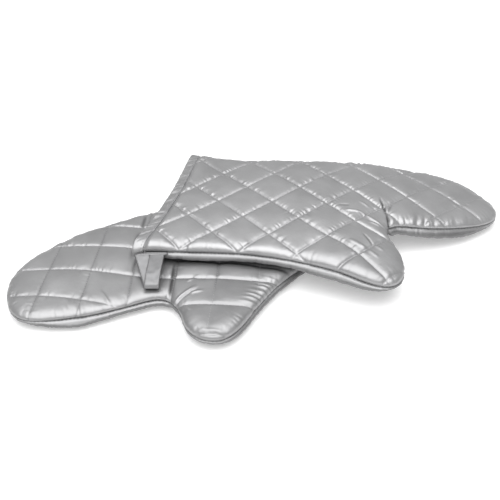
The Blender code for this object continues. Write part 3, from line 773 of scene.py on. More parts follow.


# Creases that run out of the crotch: start and end as shares of LENGTH and CUFF_WIDTH, width and height; the
# sunken ones are painted darker, as painted shade
CREASES = {
    "upper": (
        ((0.706, 0.030), (0.680, -0.175), 0.0015, -0.0024),
        ((0.712, 0.010), (0.697, -0.160), 0.0022, 0.0012),
        ((0.684, -0.130), (0.653, -0.295), 0.0014, -0.0015),
        ((0.676, -0.150), (0.650, -0.260), 0.0015, 0.0007),
        ((0.683, -0.150), (0.694, -0.265), 0.0012, -0.0007),
        ((0.686, -0.005), (0.598, -0.120), 0.0017, 0.0012),
        ((0.612, -0.112), (0.552, -0.100), 0.0016, 0.0010),
        ((0.672, -0.013), (0.630, -0.040), 0.0014, 0.0008),
        ((0.690, 0.000), (0.615, -0.060), 0.0012, -0.0004),
        ((0.575, 0.165), (0.640, 0.225), 0.0018, 0.0011),
        ((0.615, 0.090), (0.652, 0.185), 0.0012, -0.0009),
        ((0.632, 0.218), (0.680, 0.266), 0.0016, 0.0006),
        ((0.645, 0.165), (0.686, 0.212), 0.0015, 0.0006),
        ((0.588, -0.210), (0.632, -0.162), 0.0014, 0.0006),
        ((0.572, -0.150), (0.530, -0.136), 0.0014, -0.0006),
    ),
    "lower": (
        ((0.722, 0.090), (0.684, -0.030), 0.0016, -0.0016),
        ((0.700, 0.015), (0.560, -0.165), 0.0016, -0.0016),
        ((0.708, 0.036), (0.604, 0.066), 0.0018, 0.0013),
        ((0.700, 0.052), (0.610, 0.086), 0.0014, -0.0008),
        ((0.654, 0.066), (0.615, 0.120), 0.0015, 0.0009),
        ((0.621, 0.002), (0.570, 0.010), 0.0015, 0.0009),
        ((0.796, -0.290), (0.815, -0.165), 0.0013, 0.0007),
        ((0.820, -0.182), (0.797, -0.100), 0.0013, -0.0007),
        ((0.688, 0.090), (0.703, 0.170), 0.0014, 0.0008),
        ((0.706, 0.020), (0.716, -0.095), 0.0020, 0.0008),
        ((0.749, 0.263), (0.701, 0.396), 0.0012, 0.0005),
    ),
}


# Folds that the mitt lying on it presses into the lower mitt's top; their darkening is a painted shadow of
# that mitt's edge
PRESSED_FOLDS_AND_SHADOW = (
    ((0.440, -0.591), (0.534, -0.472), 0.0018, -0.0011),
    ((0.520, -0.490), (0.668, -0.308), 0.0026, -0.0011),
    ((0.600, -0.250), (0.436, 0.165), 0.0020, -0.0014),
    ((0.490, 0.005), (0.370, 0.390), 0.0020, -0.0014),
)


def creases(flat, mitt, side):
    """Folds that run out of the crotch, and on the lower mitt's top those under the other mitt's edge."""
    size = np.array((LENGTH, CUFF_WIDTH))
    folds = CREASES[mitt.at.name]
    # pressed folds on the lower mitt's top, later darkened as a painted shadow of the other mitt's edge
    if side > 0 and mitt.at is LOWER:
        folds += PRESSED_FOLDS_AND_SHADOW
    total = np.zeros(len(flat))
    for start, end, width, height in folds:
        total += height * ridge(flat, start * size, end * size, width)
    return total


# Where the covers are folded, and where their colour is painted darker: painted shade in creases, in the
# seam, along loose quilting lines and on the under edges, and evenly darker thumbs
CREASE_DEPTH = 0.0014  # a fold this deep is painted fully dark: painted shade in the creases
RIB_SPACING = 0.0028  # fine folds across the rolled edge of the under faces
RIB_HEIGHT = 0.00016
RIB_REACH = 0.010
UNDER_PUCKER_SHARE = 0.5  # of the top faces' folds across the seam
# painted shade in the seam's narrow recess, dotted along its stitches, up to this height over the seam
SEAM_SHADE = 0.75
SEAM_SHADE_HEIGHT = 0.0011
SEAM_STITCH = 0.0035  # from stitch to stitch of the seam
# evenly darker cloth on the thumbs, and an evenly darker cuff tape
THUMB_DARKENING = 0.12
TAPE_DARKENING = 0.12
# painted shade along the loose quilting lines, this wide
LINE_SHADE_WIDTH = 0.0006
UNDER_SHADE = 0.60  # painted shade on the rolled edge of the under faces, which face down
UNDER_SHADE_START = 0.0010
UNDER_SHADE_RISE = 0.0012
UNDER_SHADE_INSET = 0.006  # from here on it thins out
UNDER_SHADE_FADE = 0.020
COVER_SEEDS = {("lower", "top"): 11, ("lower", "under"): 23, ("upper", "top"): 37, ("upper", "under"): 51}

# Heights and lengths over which the forms of a cover set in
FADE_HEIGHT = 0.0055
FADE_LENGTH = 0.005
PIN_HEIGHT = 0.002  # the cover is held up to here
GATHER_RISE = 0.005
RIB_RISE = 0.002
CREASE_RISE = 0.004
CUFF_HOLD = 0.003
UNDER_FADE_INSET = 0.005
UNDER_FADE = 0.010
SOFT_CHANNEL = 0.012  # the widest slopes beside the quilting lines
FINGER_SHARES = (0.62, 0.2)  # of LENGTH: from where the fingers' diamonds flatten, over what length
SLACK_SHARES = (0.35, 0.3, 0.5)  # spare cloth: everywhere, in patches, and beside the seam
SLACK_REACH = 0.012  # how far in from the seam a cover has spare cloth
SLACK_PATCH = 0.045
START_SHARE = 0.4  # of its full puff, before a cover's cloth settles
HOLD_SHARE = 0.55  # of a mesh step: as near to a quilting line, the rolled edge is held
PUFF_SHARES = (0.42, 0.25, 0.33)  # of a puff: flat, from the diamonds' form, from the settled cloth
UNDER_SHARES = (0.25, 0.75)  # of the under faces' forms: at the seam, and from there to the middle
OVER_SHARE = 0.2  # of what would rise past COVER_TOP


def puff_limit(flat, distance, settings):
    """How far the diamonds puff up: more beside the thumb-side seam, less at the back and the fingers."""
    side = 1.6 * smooth_step(flat[:, 1] / CUFF_WIDTH + 0.5) - 0.6
    edge = settings.edge_puff * side * (1 - smooth_step(distance / DIP_WIDTH))
    fingers = smooth_step((flat[:, 0] / LENGTH - FINGER_SHARES[0]) / FINGER_SHARES[1])
    return (settings.puff_height + edge) * (1 - settings.finger_flatness * fingers)


def puff_fade(x, height):
    """Where the diamonds flatten: at the seam and at the cuff's tape."""
    return smooth_step(height / FADE_HEIGHT) * smooth_step((x - 0.9 * BINDING_WIDTH) / FADE_LENGTH)


def cover_start(panel, settings):
    """A cover before its cloth settles: shallow diamonds, with the stitches and the hems held."""
    base = np.column_stack([panel.flat, panel.height])
    form = puff_form(panel.cells, settings.channel_width) * puff_fade(panel.flat[:, 0], panel.height)
    rise = START_SHARE * puff_limit(panel.flat, panel.distance, settings) * form
    on_roll = (panel.distance < ROLL_END) & (line_gaps(panel.cells).min(1) < HOLD_SHARE * EDGE_STEP)
    held = (panel.height < PIN_HEIGHT) | (panel.flat[:, 0] < BINDING_WIDTH)
    pins = panel.quilted | on_roll | held
    return base + surface_normals(base, panel.faces) * rise[:, None], pins


def cover_shape(panel, settled, mitt, side, seed, settings):
    """A settled cover on a finer mesh, within the height of its diamonds, with its puckers and creases."""
    base = np.column_stack([panel.flat, panel.height])
    if settled is None:
        share, drift = 0.8 * puff_form(panel.cells, SOFT_CHANNEL / 2), 0 * base
    else:
        normals = surface_normals(base, panel.faces)
        rise = ((settled - base) * normals).sum(1)
        cap = settings.drift_cap
        drift = np.clip(settled - base - rise[:, None] * normals, -cap, cap)
        limit = puff_limit(panel.flat, panel.distance, settings)
        share = np.tanh(np.maximum(rise, 0) / limit) / math.tanh(1)
    table = np.column_stack([base, drift, share, panel.cells, panel.distance, panel.run])
    table, faces = refined(table, panel.faces)
    base, drift, share, cells, distance, run = np.split(table, (3, 6, 7, 9, 10), axis=1)
    share, distance, run = share.ravel(), distance.ravel(), run.ravel()
    fade = puff_fade(base[:, 0], base[:, 2])
    depths = line_depths(base[:, :2], mitt)
    flank = flanks(cells, settings.channel_width, depths)
    if side < 0:
        inner = smooth_step((distance - UNDER_FADE_INSET) / UNDER_FADE)
        fade = fade * (UNDER_SHARES[0] + UNDER_SHARES[1] * inner)
    rise = puff_limit(base[:, :2], distance, settings) * fade
    even, domed, soft = PUFF_SHARES
    rise *= flank * (even + domed * puff_form(cells, SOFT_CHANNEL, depths) + soft * share)
    normals = surface_normals(base, faces)
    shape = base + drift * fade[:, None] + normals * rise[:, None]
    folds = seam_puckers(distance, run, base[:, 2], seed, settings)
    folds *= 1.0 if side > 0 else UNDER_PUCKER_SHARE
    folds += channel_puckers(cells, depths, seed + 5, settings) * fade
    if side > 0:
        for gather in mitt.at.gathers:
            folds += gather_folds(gather, distance, run, seed) * smooth_step(base[:, 2] / GATHER_RISE)
    else:
        ribs = gathered(np.column_stack([run, 0.05 * distance]), RIB_SPACING, seed + 3)
        folds += RIB_HEIGHT * ribs * smooth_step(base[:, 2] / RIB_RISE) * bell(distance, RIB_REACH)
    fold = creases(base[:, :2], mitt, side) * smooth_step(base[:, 2] / CREASE_RISE)
    folds += fold
    folds *= smooth_step((base[:, 0] - BINDING_WIDTH) / CUFF_HOLD)
    shape += surface_normals(shape, faces) * folds[:, None]
    over = shape[:, 2] - COVER_TOP
    shape[:, 2] = np.where(over > 0, COVER_TOP + OVER_SHARE * over, shape[:, 2])
    shape[:, 2] = np.maximum(shape[:, 2], SEAM_HALF_GAP)
    # painted shade in the seam, along loose quilting lines and on the under edges; evenly darker thumbs and
    # lower mitt
    dirt = shade_and_tone_map(base[:, :2], base[:, 2], distance, run, cells, mitt, side)
    # sunken creases are painted darker by their depth: painted shade
    return shape, faces, np.clip(np.maximum(dirt, -fold / CREASE_DEPTH), 0, 1)


def shade_and_tone_map(flat, height, distance, run, cells, mitt, side):
    """How much darker a cover is painted, from 0 to 1: painted shade in the seam, along loose quilting lines
    and on the under faces' rolled edge; evenly darker on the thumb and on the lower mitt.
    """
    # painted shade in the seam's recess, dotted along its stitches
    stitches = 0.7 + 0.3 * np.cos(2 * math.pi * run / SEAM_STITCH)
    seam = SEAM_SHADE * stitches * (1 - smooth_step((height - SEAM_HALF_GAP) / SEAM_SHADE_HEIGHT))
    tone_and_shade = mitt.at.dirt + THUMB_DARKENING * thumb(flat)
    # painted shade along the loose quilting lines
    loose = mitt.at.line_dirt * line_depths(flat, mitt)[:, 1] / mitt.at.quilt_depths[1]
    tone_and_shade = tone_and_shade + loose * bell(line_gaps(cells)[:, 1], LINE_SHADE_WIDTH)
    # painted shade on the under faces' rolled edge, thinning out inwards
    if side < 0:
        shaded_height = smooth_step((height - UNDER_SHADE_START) / UNDER_SHADE_RISE)
        inner = smooth_step((distance - UNDER_SHADE_INSET) / UNDER_SHADE_FADE)
        tone_and_shade = UNDER_SHADE * shaded_height * (1 - 0.5 * inner)
    return np.maximum(seam, tone_and_shade)


class MITTS_OT_covers(bpy.types.Operator):
    """Builds the quilted silver faces of both mitts and lets their cloth settle between the stitches"""

    bl_idname = "mitts.covers"
    bl_label = "Quilted Covers"

    def execute(self, context):
        settings = context.scene.mitts
        material = finish_for("silver_cloth", silver_cloth, settings)
        covers, jobs = [], []
        rows = roll_profile(ROLL_STEP)
        for mitt in MITTS:
            for side, word in FACES:
                panel = build_panel(mitt.quilt_origin, QUILT_STEPS, rows, LAYER_START, side)
                seed = COVER_SEEDS[mitt.at.name, word]
                start, pins = cover_start(panel, settings)
                even, patches, hem = SLACK_SHARES
                slack = even + patches * seeded_noise(panel.flat, SLACK_PATCH, seed)
                slack += hem * bell(panel.distance, SLACK_REACH, 1)
                covers.append((mitt, side, word, panel, seed))
                jobs.append((start, panel.faces, pins, np.clip(slack, 0, 1)))
        settled = inflate(jobs)
        for (mitt, side, word, panel, seed), cloth in zip(covers, settled):
            shape, faces, dirt = cover_shape(panel, cloth, mitt, side, seed, settings)
            if side > 0:
                faces = [face[::-1] for face in faces]
            cover = mesh_object(mitt.name(f"{word}_cover"), mitt.world(shape, side), faces)
            # marks the cover's painted shade and darker tone for its material
            mark_shade_and_tone(cover, dirt)
            finish_piece(cover, material, mitt.glove, "silver_fabric", mitt.name(f"{word}_shell"))
        return {"FINISHED"}


def finish_piece(obj, material, body, slot, *nodes):
    """Gives a piece its material and its body, and hides the model's nodes that it stands for; slot is not
    used.
    """
    obj.data.materials.clear()
    obj.data.materials.append(material)
    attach(obj, body)
    if nodes:
        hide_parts(*nodes)
    return obj


def finish_for(name, make, settings):
    """The material of this name, made when it is first asked for."""
    return bpy.data.materials.get(name) or make(settings)


def new_material(name, values):
    """A material with these constants on its shader's own sockets."""
    material = bpy.data.materials.new(name)
    material.use_nodes = True
    shader = material.node_tree.nodes["Principled BSDF"]
    for socket, value in values.items():
        shader.inputs[socket].default_value = value
    return material, material.node_tree, shader


def add_node(tree, kind, inputs, **settings):
    """A shader node with its settings; each of its inputs is a constant or another node's output."""
    node = tree.nodes.new("ShaderNode" + kind)
    for name, value in settings.items():
        setattr(node, name, value)
    for socket, value in inputs.items():
        if isinstance(value, bpy.types.NodeSocket):
            tree.links.new(value, node.inputs[socket])
        else:
            node.inputs[socket].default_value = value
    return node


def texture(tree, kind, scale, axis=None, **inputs):
    """The strength of a texture that stays with the piece."""
    place = add_node(tree, "TexCoord", {}).outputs["Object"]
    node = add_node(tree, "Tex" + kind, {"Vector": place, "Scale": scale, **inputs})
    if axis:
        node.bands_direction = axis
    return node.outputs["Fac"]


def shades(tree, strength, colour, low, high, stops=(0, 1), curve="LINEAR"):
    """A colour, from low times to high times as bright, as the strength goes from stop to stop."""
    ramp = add_node(tree, "ValToRGB", {"Fac": strength})
    ramp.color_ramp.interpolation = curve
    for element, stop, share in zip(ramp.color_ramp.elements, stops, (low, high)):
        element.position = stop
        element.color = (*[share * c for c in colour], 1)
    return ramp.outputs["Color"]


def roughen(tree, shader, height, distance, strength):
    """Gives the finish a relief this far across."""
    bump = add_node(tree, "Bump", {"Height": height, "Distance": distance, "Strength": strength})
    tree.links.new(bump.outputs["Normal"], shader.inputs["Normal"])


# Point attribute that darkens the silver cloth: painted shade in sunken creases, in the seam, along loose
# quilting lines and on the under edges; evenly darker thumbs, lower mitt and cuff tape
SHADE_AND_TONE = "dirt"


def mark_shade_and_tone(obj, values):
    obj.data.attributes.new(SHADE_AND_TONE, "FLOAT", "POINT").data.foreach_set("value", values)


def silver_cloth(settings):
    """Silver-coated cloth: a satin metal film over a fine weave, crinkled, and painted darker and a little
    rougher where the mesh marks painted shade and darker tone.
    """
    material, tree, shader = new_material("silver_cloth", {"Metallic": settings.silver_metal})
    blotch = texture(tree, "Noise", 38, Detail=3)
    colour = shades(tree, blotch, settings.silver_colour, 0.92, 1.06, (0.3, 0.7))
    low, high = settings.silver_roughness - 0.05, settings.silver_roughness + 0.07
    gloss = add_node(tree, "MapRange", {"Value": blotch, "To Min": low, "To Max": high})
    # painted shade and evenly darker tone, read from the mesh, scale the colour down
    dirt = add_node(tree, "Attribute", {}, attribute_name=SHADE_AND_TONE).outputs["Fac"]
    kept_brightness = add_node(tree, "MapRange", {"Value": dirt, "To Min": 1, "To Max": 0.25})
    darker = {"Vector": colour, "Scale": kept_brightness.outputs["Result"]}
    darker = add_node(tree, "VectorMath", darker, operation="SCALE").outputs["Vector"]
    duller = add_node(tree, "Math", {0: dirt, 1: 0.05, 2: gloss.outputs["Result"]}, operation="MULTIPLY_ADD")
    tree.links.new(darker, shader.inputs["Base Color"])
    tree.links.new(duller.outputs[0], shader.inputs["Roughness"])
    roughen(tree, shader, texture(tree, "Noise", 260, Detail=4), 0.0004, 0.35)
    return material


def border_edges(faces):
    """Edges that only one face has, in that face's direction."""
    seen = {}
    for face in faces:
        for first, second in zip(face, (*face[1:], face[0])):
            key = (min(first, second), max(first, second))
            seen[key] = None if key in seen else (first, second)
    return [edge for edge in seen.values() if edge]


def layer_solid(flat, top, bottom, faces):
    """A closed layer over pattern points between two heights."""
    count = len(flat)
    points = np.vstack([np.column_stack([flat, top]), np.column_stack([flat, bottom])])
    walls = [(second, first, first + count, second + count) for first, second in border_edges(faces)]
    return points, [*faces, *[tuple(count + i for i in face[::-1]) for face in faces], *walls]


def mouth_loop(x, inset, roll, rise, count):
    """Closed loop of (y, height) round the mouth at this x, evenly spaced, from the back over the top."""
    back, front = edge_at(x)
    corner = np.column_stack(rounded_edge(roll, rise, 40))
    left = corner + (back + inset, 0)
    right = (corner * (-1, 1) + (front - inset, 0))[::-1]
    upper = np.vstack([left, right])
    loop = np.vstack([upper, (upper * (1, -1))[::-1][1:]])
    run = run_along(loop)
    return at_stops(np.linspace(0, run[-1], count, endpoint=False), run, loop)


def loop_normals(loop):
    """Outward normals of a closed loop of (y, height)."""
    run = np.roll(loop, -1, axis=0) - np.roll(loop, 1, axis=0)
    return np.column_stack([-run[:, 1], run[:, 0]]) / np.hypot(*run.T)[:, None]


MOUTH_POINTS = 400
WALL = SHELL_THICKNESS + WADDING_THICKNESS + LINING_THICKNESS + 3 * CLEARANCE
LINING_INSET = SEAM_RECESS + ALLOWANCE_WIDTH + ALLOWANCE_THICKNESS + CLEARANCE  # lining's hem in the seam

# Cuff tape from its hem, over the top face, to its fold: places from the edge and shares of its height
TAPE_HEM = (BINDING_WIDTH - 0.0004, BINDING_WIDTH - 0.0012)
TAPE_FLAT_END = 0.0018
TAPE_FOLD = ((0.0010, 0.92), (0.0004, 0.65))
TAPE_FOLD_SHARES = (0.08, 0.25, 0.5, 0.75, 0.92)  # round the edge, from outside to inside
TAPE_FOLD_BULGE = 0.0006
TAPE_INSIDE_START = 0.0010
TAPE_INSIDE_ROLL = 0.6 * EDGE_ROLL
STITCH_PULL = 0.00035  # how deep the stitches draw the tape in, and how wide
STITCH_PULL_WIDTH = 0.0010


def ring_at(x, loop):
    """A closed loop of (y, height) as pattern points at this x."""
    return np.column_stack([np.full(MOUTH_POINTS, x), loop])


def binding_shape(seed, settings):
    """A tape folded over the edge of the mouth: its points, its faces and its outer stitch line."""
    full = LAYER_START
    stitch = BINDING_WIDTH - STITCH_INSET
    flat_run = np.linspace(TAPE_HEM[1], TAPE_FLAT_END, 9)
    outside = [(BINDING_WIDTH, -CLEARANCE), (BINDING_WIDTH, 0.5 * full), (TAPE_HEM[0], full)]
    outside += [(x, full) for x in flat_run] + [(x, share * full) for x, share in TAPE_FOLD]
    run = np.linspace(0, 2 * CUFF_WIDTH, MOUTH_POINTS, endpoint=False)
    spacing = settings.binding_fold_spacing
    rings = []
    for x, grow in outside:
        loop = mouth_loop(x, 0, EDGE_ROLL, FACE_HEIGHT, MOUTH_POINTS)
        slant = np.column_stack([run + 1.0 * x, 0.30 * (run - 1.0 * x)])
        waves = gathered(slant, spacing, seed) + 0.5 * gathered(slant * (1, -1), spacing / 2, seed + 1)
        pull = bell(x - stitch, STITCH_PULL_WIDTH)
        held = smooth_step(grow / full) * (1 - 0.6 * pull)
        lift = grow + settings.binding_fold_height * waves * held - STITCH_PULL * pull
        rings.append(ring_at(x, loop + loop_normals(loop) * lift[:, None]))
    outer = mouth_loop(0.0, 0, EDGE_ROLL, FACE_HEIGHT, MOUTH_POINTS)
    inset, rise = LINING_INSET + LINING_THICKNESS, FACE_HEIGHT - WALL - full
    inner = mouth_loop(0.0, inset, TAPE_INSIDE_ROLL, rise, MOUTH_POINTS)
    for share in TAPE_FOLD_SHARES:
        bend = -TAPE_FOLD_BULGE * math.sin(math.pi * share)
        rings.append(ring_at(bend, outer + (inner - outer) * share))
    for x in np.linspace(TAPE_INSIDE_START, BINDING_WIDTH, 6):
        rings.append(ring_at(x, mouth_loop(x, inset, TAPE_INSIDE_ROLL, rise, MOUTH_POINTS)))
    tuck = mouth_loop(BINDING_WIDTH, LINING_INSET, TAPE_INSIDE_ROLL, rise + full, MOUTH_POINTS)
    rings.append(ring_at(BINDING_WIDTH, tuck))
    nearest = int(np.argmin([abs(x - stitch) for x, _ in outside]))
    return np.vstack(rings), strip_faces(len(rings), MOUTH_POINTS, closed=True), rings[nearest]


SPINDLE_SHARES = (0.0, 0.2, 0.5, 0.8, 1.0)  # of a stitch's length
SPINDLE_WIDTHS = (0.25, 0.8, 1.0, 0.8, 0.25)  # there, of the thread's
SPINDLE_SIDES = 6


def stitch_run(line, outward, settings):
    """Stitches of thread along a line of points: each a short spindle that dives in at both ends."""
    length, gap, width = settings.stitch_length, settings.stitch_gap, settings.thread_width
    run = np.concatenate([[0], np.cumsum(np.linalg.norm(np.diff(line, axis=0), axis=1))])
    stitch_faces = tube_faces(len(SPINDLE_SHARES), SPINDLE_SIDES)
    points, faces = [], []
    for start in np.arange(gap / 2, run[-1] - length, length + gap):
        stops = start + length * np.array(SPINDLE_SHARES)
        middle, up = at_stops(stops, run, line), at_stops(stops, run, outward)
        up /= np.linalg.norm(up, axis=1)[:, None]
        along = middle[-1] - middle[0]
        across = np.cross(along / np.linalg.norm(along), up)
        base = len(points)
        for place, rise, side, thick in zip(middle, up, across, SPINDLE_WIDTHS):
            lift = place + rise * width * (0.9 * thick - 0.55)
            for turn in range(SPINDLE_SIDES):
                angle = 2 * math.pi * turn / SPINDLE_SIDES
                points.append(lift + 0.5 * width * thick * (side * math.cos(angle) + rise * math.sin(angle)))
        faces += [tuple(base + i for i in face) for face in stitch_faces]
    return points, faces


def joined(parts):
    """Several sets of points and faces as one."""
    points, faces = [], []
    for more_points, more_faces in parts:
        base = len(points)
        points.extend(more_points)
        faces.extend(tuple(base + i for i in face) for face in more_faces)
    return np.array(points), faces


DIRECTION_STEP = 0.0005


def world_directions(mitt, points, directions, side=1):
    """Pattern directions at pattern points, as laid down."""
    moved = mitt.world(points + DIRECTION_STEP * directions, side) - mitt.world(points, side)
    return moved / np.maximum(np.linalg.norm(moved, axis=1), TINY)[:, None]


LEAST_SEWN = 8  # a line with fewer points has no thread


def quilting_rows(mitt):
    """Quilting lines of a face in its pattern plane, as rows of points that hang high over it."""
    reach = int(2 * LENGTH / QUILT_PITCH)
    stops = np.arange(-reach, reach, SEWING_STEP / QUILT_PITCH)
    rows = []
    for direction in (0, 1):
        for line in range(-reach, reach):
            cells = np.full((len(stops), 2), float(line))
            cells[:, 1 - direction] = stops
            flat = cell_points(cells, mitt.quilt_origin)
            kept = inside_outline(flat) & (flat[:, 0] > BINDING_WIDTH + SEWING_STEP)
            kept[kept] = nearest_edge(flat[kept])[0] > ROLL_END
            kept = np.flatnonzero(kept)
            for run in np.split(kept, np.flatnonzero(np.diff(kept) > 1) + 1):
                if len(run) > LEAST_SEWN:
                    rows.append(np.column_stack([flat[run], np.full(len(run), 2 * FACE_HEIGHT)]))
    return rows


def sewn_line(tree, start, side):
    """Where the thread of a quilting line lies on a cover, and the cover's ways out there."""
    hits = [tree.ray_cast(Vector(point), Vector((0, 0, -side))) for point in start]
    hits = [hit for hit in hits if hit[0] is not None]
    outward = [hit[1] * (1 if hit[1].z * side > 0 else -1) for hit in hits]
    return np.array([hit[0] for hit in hits]), np.array(outward)


class MITTS_OT_quilting(bpy.types.Operator):
    """Sews the thread of the quilting into the valleys of the covers"""

    bl_idname = "mitts.quilting"
    bl_label = "Quilting Thread"

    def execute(self, context):
        settings = context.scene.mitts
        thread = finish_for("twisted_thread", thread_finish, settings)
        for mitt in MITTS:
            for side, word in FACES:
                cover = bpy.data.objects.get(mitt.name(f"{word}_cover"))
                if cover is None:
                    raise RuntimeError("The quilted covers come before their thread")
                corners = [face.vertices for face in cover.data.polygons]
                tree = BVHTree.FromPolygons([vertex.co for vertex in cover.data.vertices], corners)
                rows = []
                for row in quilting_rows(mitt):
                    line, outward = sewn_line(tree, mitt.world(row, side), side)
                    if len(line) > LEAST_SEWN:
                        rows.append(stitch_run(line, outward, settings))
                points, faces = joined(rows)
                points[:, 2] = np.maximum(points[:, 2], 0)
                stitches = mesh_object(mitt.name(f"{word}_quilting"), points, faces)
                finish_piece(stitches, thread, mitt.glove, "thread")
        return {"FINISHED"}


class MITTS_OT_bindings(bpy.types.Operator):
    """Builds the tape folded over each cuff, with its creases and its row of stitches"""

    bl_idname = "mitts.bindings"
    bl_label = "Cuff Bindings"

    def execute(self, context):
        settings = context.scene.mitts
        tape = finish_for("silver_cloth", silver_cloth, settings)
        thread = finish_for("twisted_thread", thread_finish, settings)
        for mitt, seed in zip(MITTS, (61, 73)):
            points, faces, line = binding_shape(seed, settings)
            binding = mesh_object(mitt.name("binding_tape"), mitt.world(points), faces)
            # the cuff tape is evenly darker
            mark_shade_and_tone(binding, np.full(len(points), TAPE_DARKENING))
            finish_piece(binding, tape, mitt.glove, "silver_tape", mitt.name("cuff_binding"))
            outward = np.column_stack([np.zeros(len(line)), loop_normals(line[:, 1:])])
            line, outward = (np.vstack([ring, ring[:1]]) for ring in (line, outward))
            rows = stitch_run(mitt.world(line), world_directions(mitt, line, outward), settings)
            stitches = mesh_object(mitt.name("binding_stitches"), *joined([rows]))
            finish_piece(stitches, thread, mitt.glove, "thread", mitt.name("binding_stitching"))
        return {"FINISHED"}


def silver_tape(settings):
    """The silver cloth of the loops: a duller, plainer tape with fine ribs across it."""
    values = {"Roughness": settings.tape_roughness, "Metallic": 0.5}
    material, tree, shader = new_material("loop_tape", values)
    soil = texture(tree, "Noise", 90)
    colour = shades(tree, soil, settings.tape_colour, 0.92, 1.05, (0.3, 0.7))
    tree.links.new(colour, shader.inputs["Base Color"])
    ribs = texture(tree, "Wave", 330, Distortion=2.5, Detail=2)
    roughen(tree, shader, ribs, 0.0002, 0.25)
    return material


def thread_finish(settings):
    """Twisted grey thread."""
    material, tree, shader = new_material("twisted_thread", {"Roughness": 0.6})
    colour = shades(tree, texture(tree, "Noise", 1500), settings.thread_colour, 0.75, 1.2)
    tree.links.new(colour, shader.inputs["Base Color"])
    return material


LOOP_STEPS = 96
TAPE_ACROSS = 14
LOOP_NOSE_SHARE = 0.07
LOOP_BELLY = 0.0028  # the legs' distance from the loop's middle plane
LOOP_FOLD_SHARE = 0.93  # of LOOP_REACH: the tape's fold stands a little short of the model's
LOOP_ARCH = 0.0008  # how far the legs arch up between the seam and the fold
LOOP_SHIFT_SHARES = (0.68, 0.22, 0.15, -1.30)  # of LOOP_LEG_SHIFT: at the seam, the fold and the seam
ROOT_SECTIONS = 15
ROOT_SIDES = 12
TAB_SECTIONS = 13
TAB_REACHES = (-TAB_INSET, 0.4 * TAB_OUT, TAB_OUT)  # inside the seam, in it, outside
TAB_HALVES = (0.0003, 0.0007, 0.0010)  # half its thickness there


class Loop:
    """The frame in which a mitt's hanging loop is drawn: along the seam, out of it and up."""

    def __init__(self, mitt):
        place, along, out = mitt.seam_frame(LOOP_PLACE)
        self.middle = mitt.world(np.array([[*(place + out * LOOP_ROOT_OUT), 0.0]]))[0]
        self.along, self.out = mitt.heading(along), mitt.heading(out)
        self.droop, self.skew = mitt.at.loop_droop, mitt.at.loop_skew

    def place(self, sideways, reach, rise):
        c, s = math.cos(self.droop), math.sin(self.droop)
        outward, upward = c * reach + s * rise, c * rise - s * reach
        level = np.multiply.outer(sideways, self.along) + np.multiply.outer(outward, self.out)
        return self.middle + level + np.multiply.outer(upward, np.array([0.0, 0.0, 1.0]))


def loop_shape(loop, seed, settings):
    """The hanging tape: out on one leg, round and back on the other, cupped along its fold."""
    share = np.linspace(0, 1, LOOP_STEPS + 1)
    turn = 2 * math.pi * share
    nose = LOOP_NOSE_SHARE / 2  # of the tape's length, on each side of its fold
    leg = np.clip(np.where(share < 0.5, share, 1 - share) / (0.5 - nose), 0, 1)
    bend = np.clip((share - 0.5 + nose) / (2 * nose), 0, 1) * math.pi
    belly = LOOP_BELLY * smooth_step(leg * 1.15) ** 0.8
    reach = (LOOP_FOLD_SHARE * LOOP_REACH - LOOP_BELLY) * leg + LOOP_BELLY * np.sin(bend)
    far_leg = np.where(share > 0.5 + nose, -belly, LOOP_BELLY * np.cos(bend))
    rise = np.where(share < 0.5 - nose, belly, far_leg) + LOOP_ARCH * np.sin(math.pi * leg)
    ends = np.array(LOOP_SHIFT_SHARES) * LOOP_LEG_SHIFT
    shift = np.interp(share, (0, 0.5 - nose, 0.5 + nose, 1), ends) + math.tan(loop.skew) * reach
    run = np.gradient(np.column_stack([reach, rise]), axis=0)
    run[0], run[-1] = (reach[1], rise[1]), (-reach[-2], -rise[-2])
    run /= np.hypot(*run.T)[:, None]
    normal = np.column_stack([-run[:, 1], run[:, 0]])
    half_width, half_thick = LOOP_TAPE_WIDTH / 2, LOOP_TAPE_THICKNESS / 2
    across = np.linspace(-1, 1, TAPE_ACROSS)
    rounded = half_thick * np.clip(1 - np.abs(across) ** 8, 0, 1) ** 0.5
    section = [*zip(across, rounded), *zip(across[-2:0:-1], -rounded[-2:0:-1])]
    points = []
    for station in range(LOOP_STEPS + 1):
        for side, thick in section:
            wave = noise.noise(Vector((side * 1.3, turn[station] * 2.2, seed)))
            ripple = noise.noise(Vector((side * 2.0, turn[station] * 7.0, seed + 9)))
            held = math.sin(turn[station] / 2) ** 0.6 if 0 < station < LOOP_STEPS else 0.0
            lift = thick + held * (settings.tape_wave * wave + 0.35 * settings.tape_wave * ripple)
            lift += held * settings.tape_cup * (side * side - 0.4)
            outward, upward = np.array([reach[station], rise[station]]) + normal[station] * lift
            points.append(loop.place(shift[station] + side * half_width, outward, upward))
    return np.array(points), tube_faces(LOOP_STEPS + 1, len(section)), len(section)


def root_shape(loop):
    """The fold of the tape that turns in the seam, as a soft roll along it."""
    angles = np.linspace(0, 2 * math.pi, ROOT_SIDES, endpoint=False)
    rings = []
    for share in np.linspace(-1, 1, ROOT_SECTIONS):
        radius = LOOP_ROOT_RADIUS * (0.72 + 0.28 * (1 - share**4))
        sideways = np.full(ROOT_SIDES, share * (LOOP_LEG_SHIFT + LOOP_TAPE_WIDTH / 2))
        rings.append(loop.place(sideways, radius * np.cos(angles), radius * np.sin(angles)))
    return np.vstack(rings), tube_faces(ROOT_SECTIONS, ROOT_SIDES)


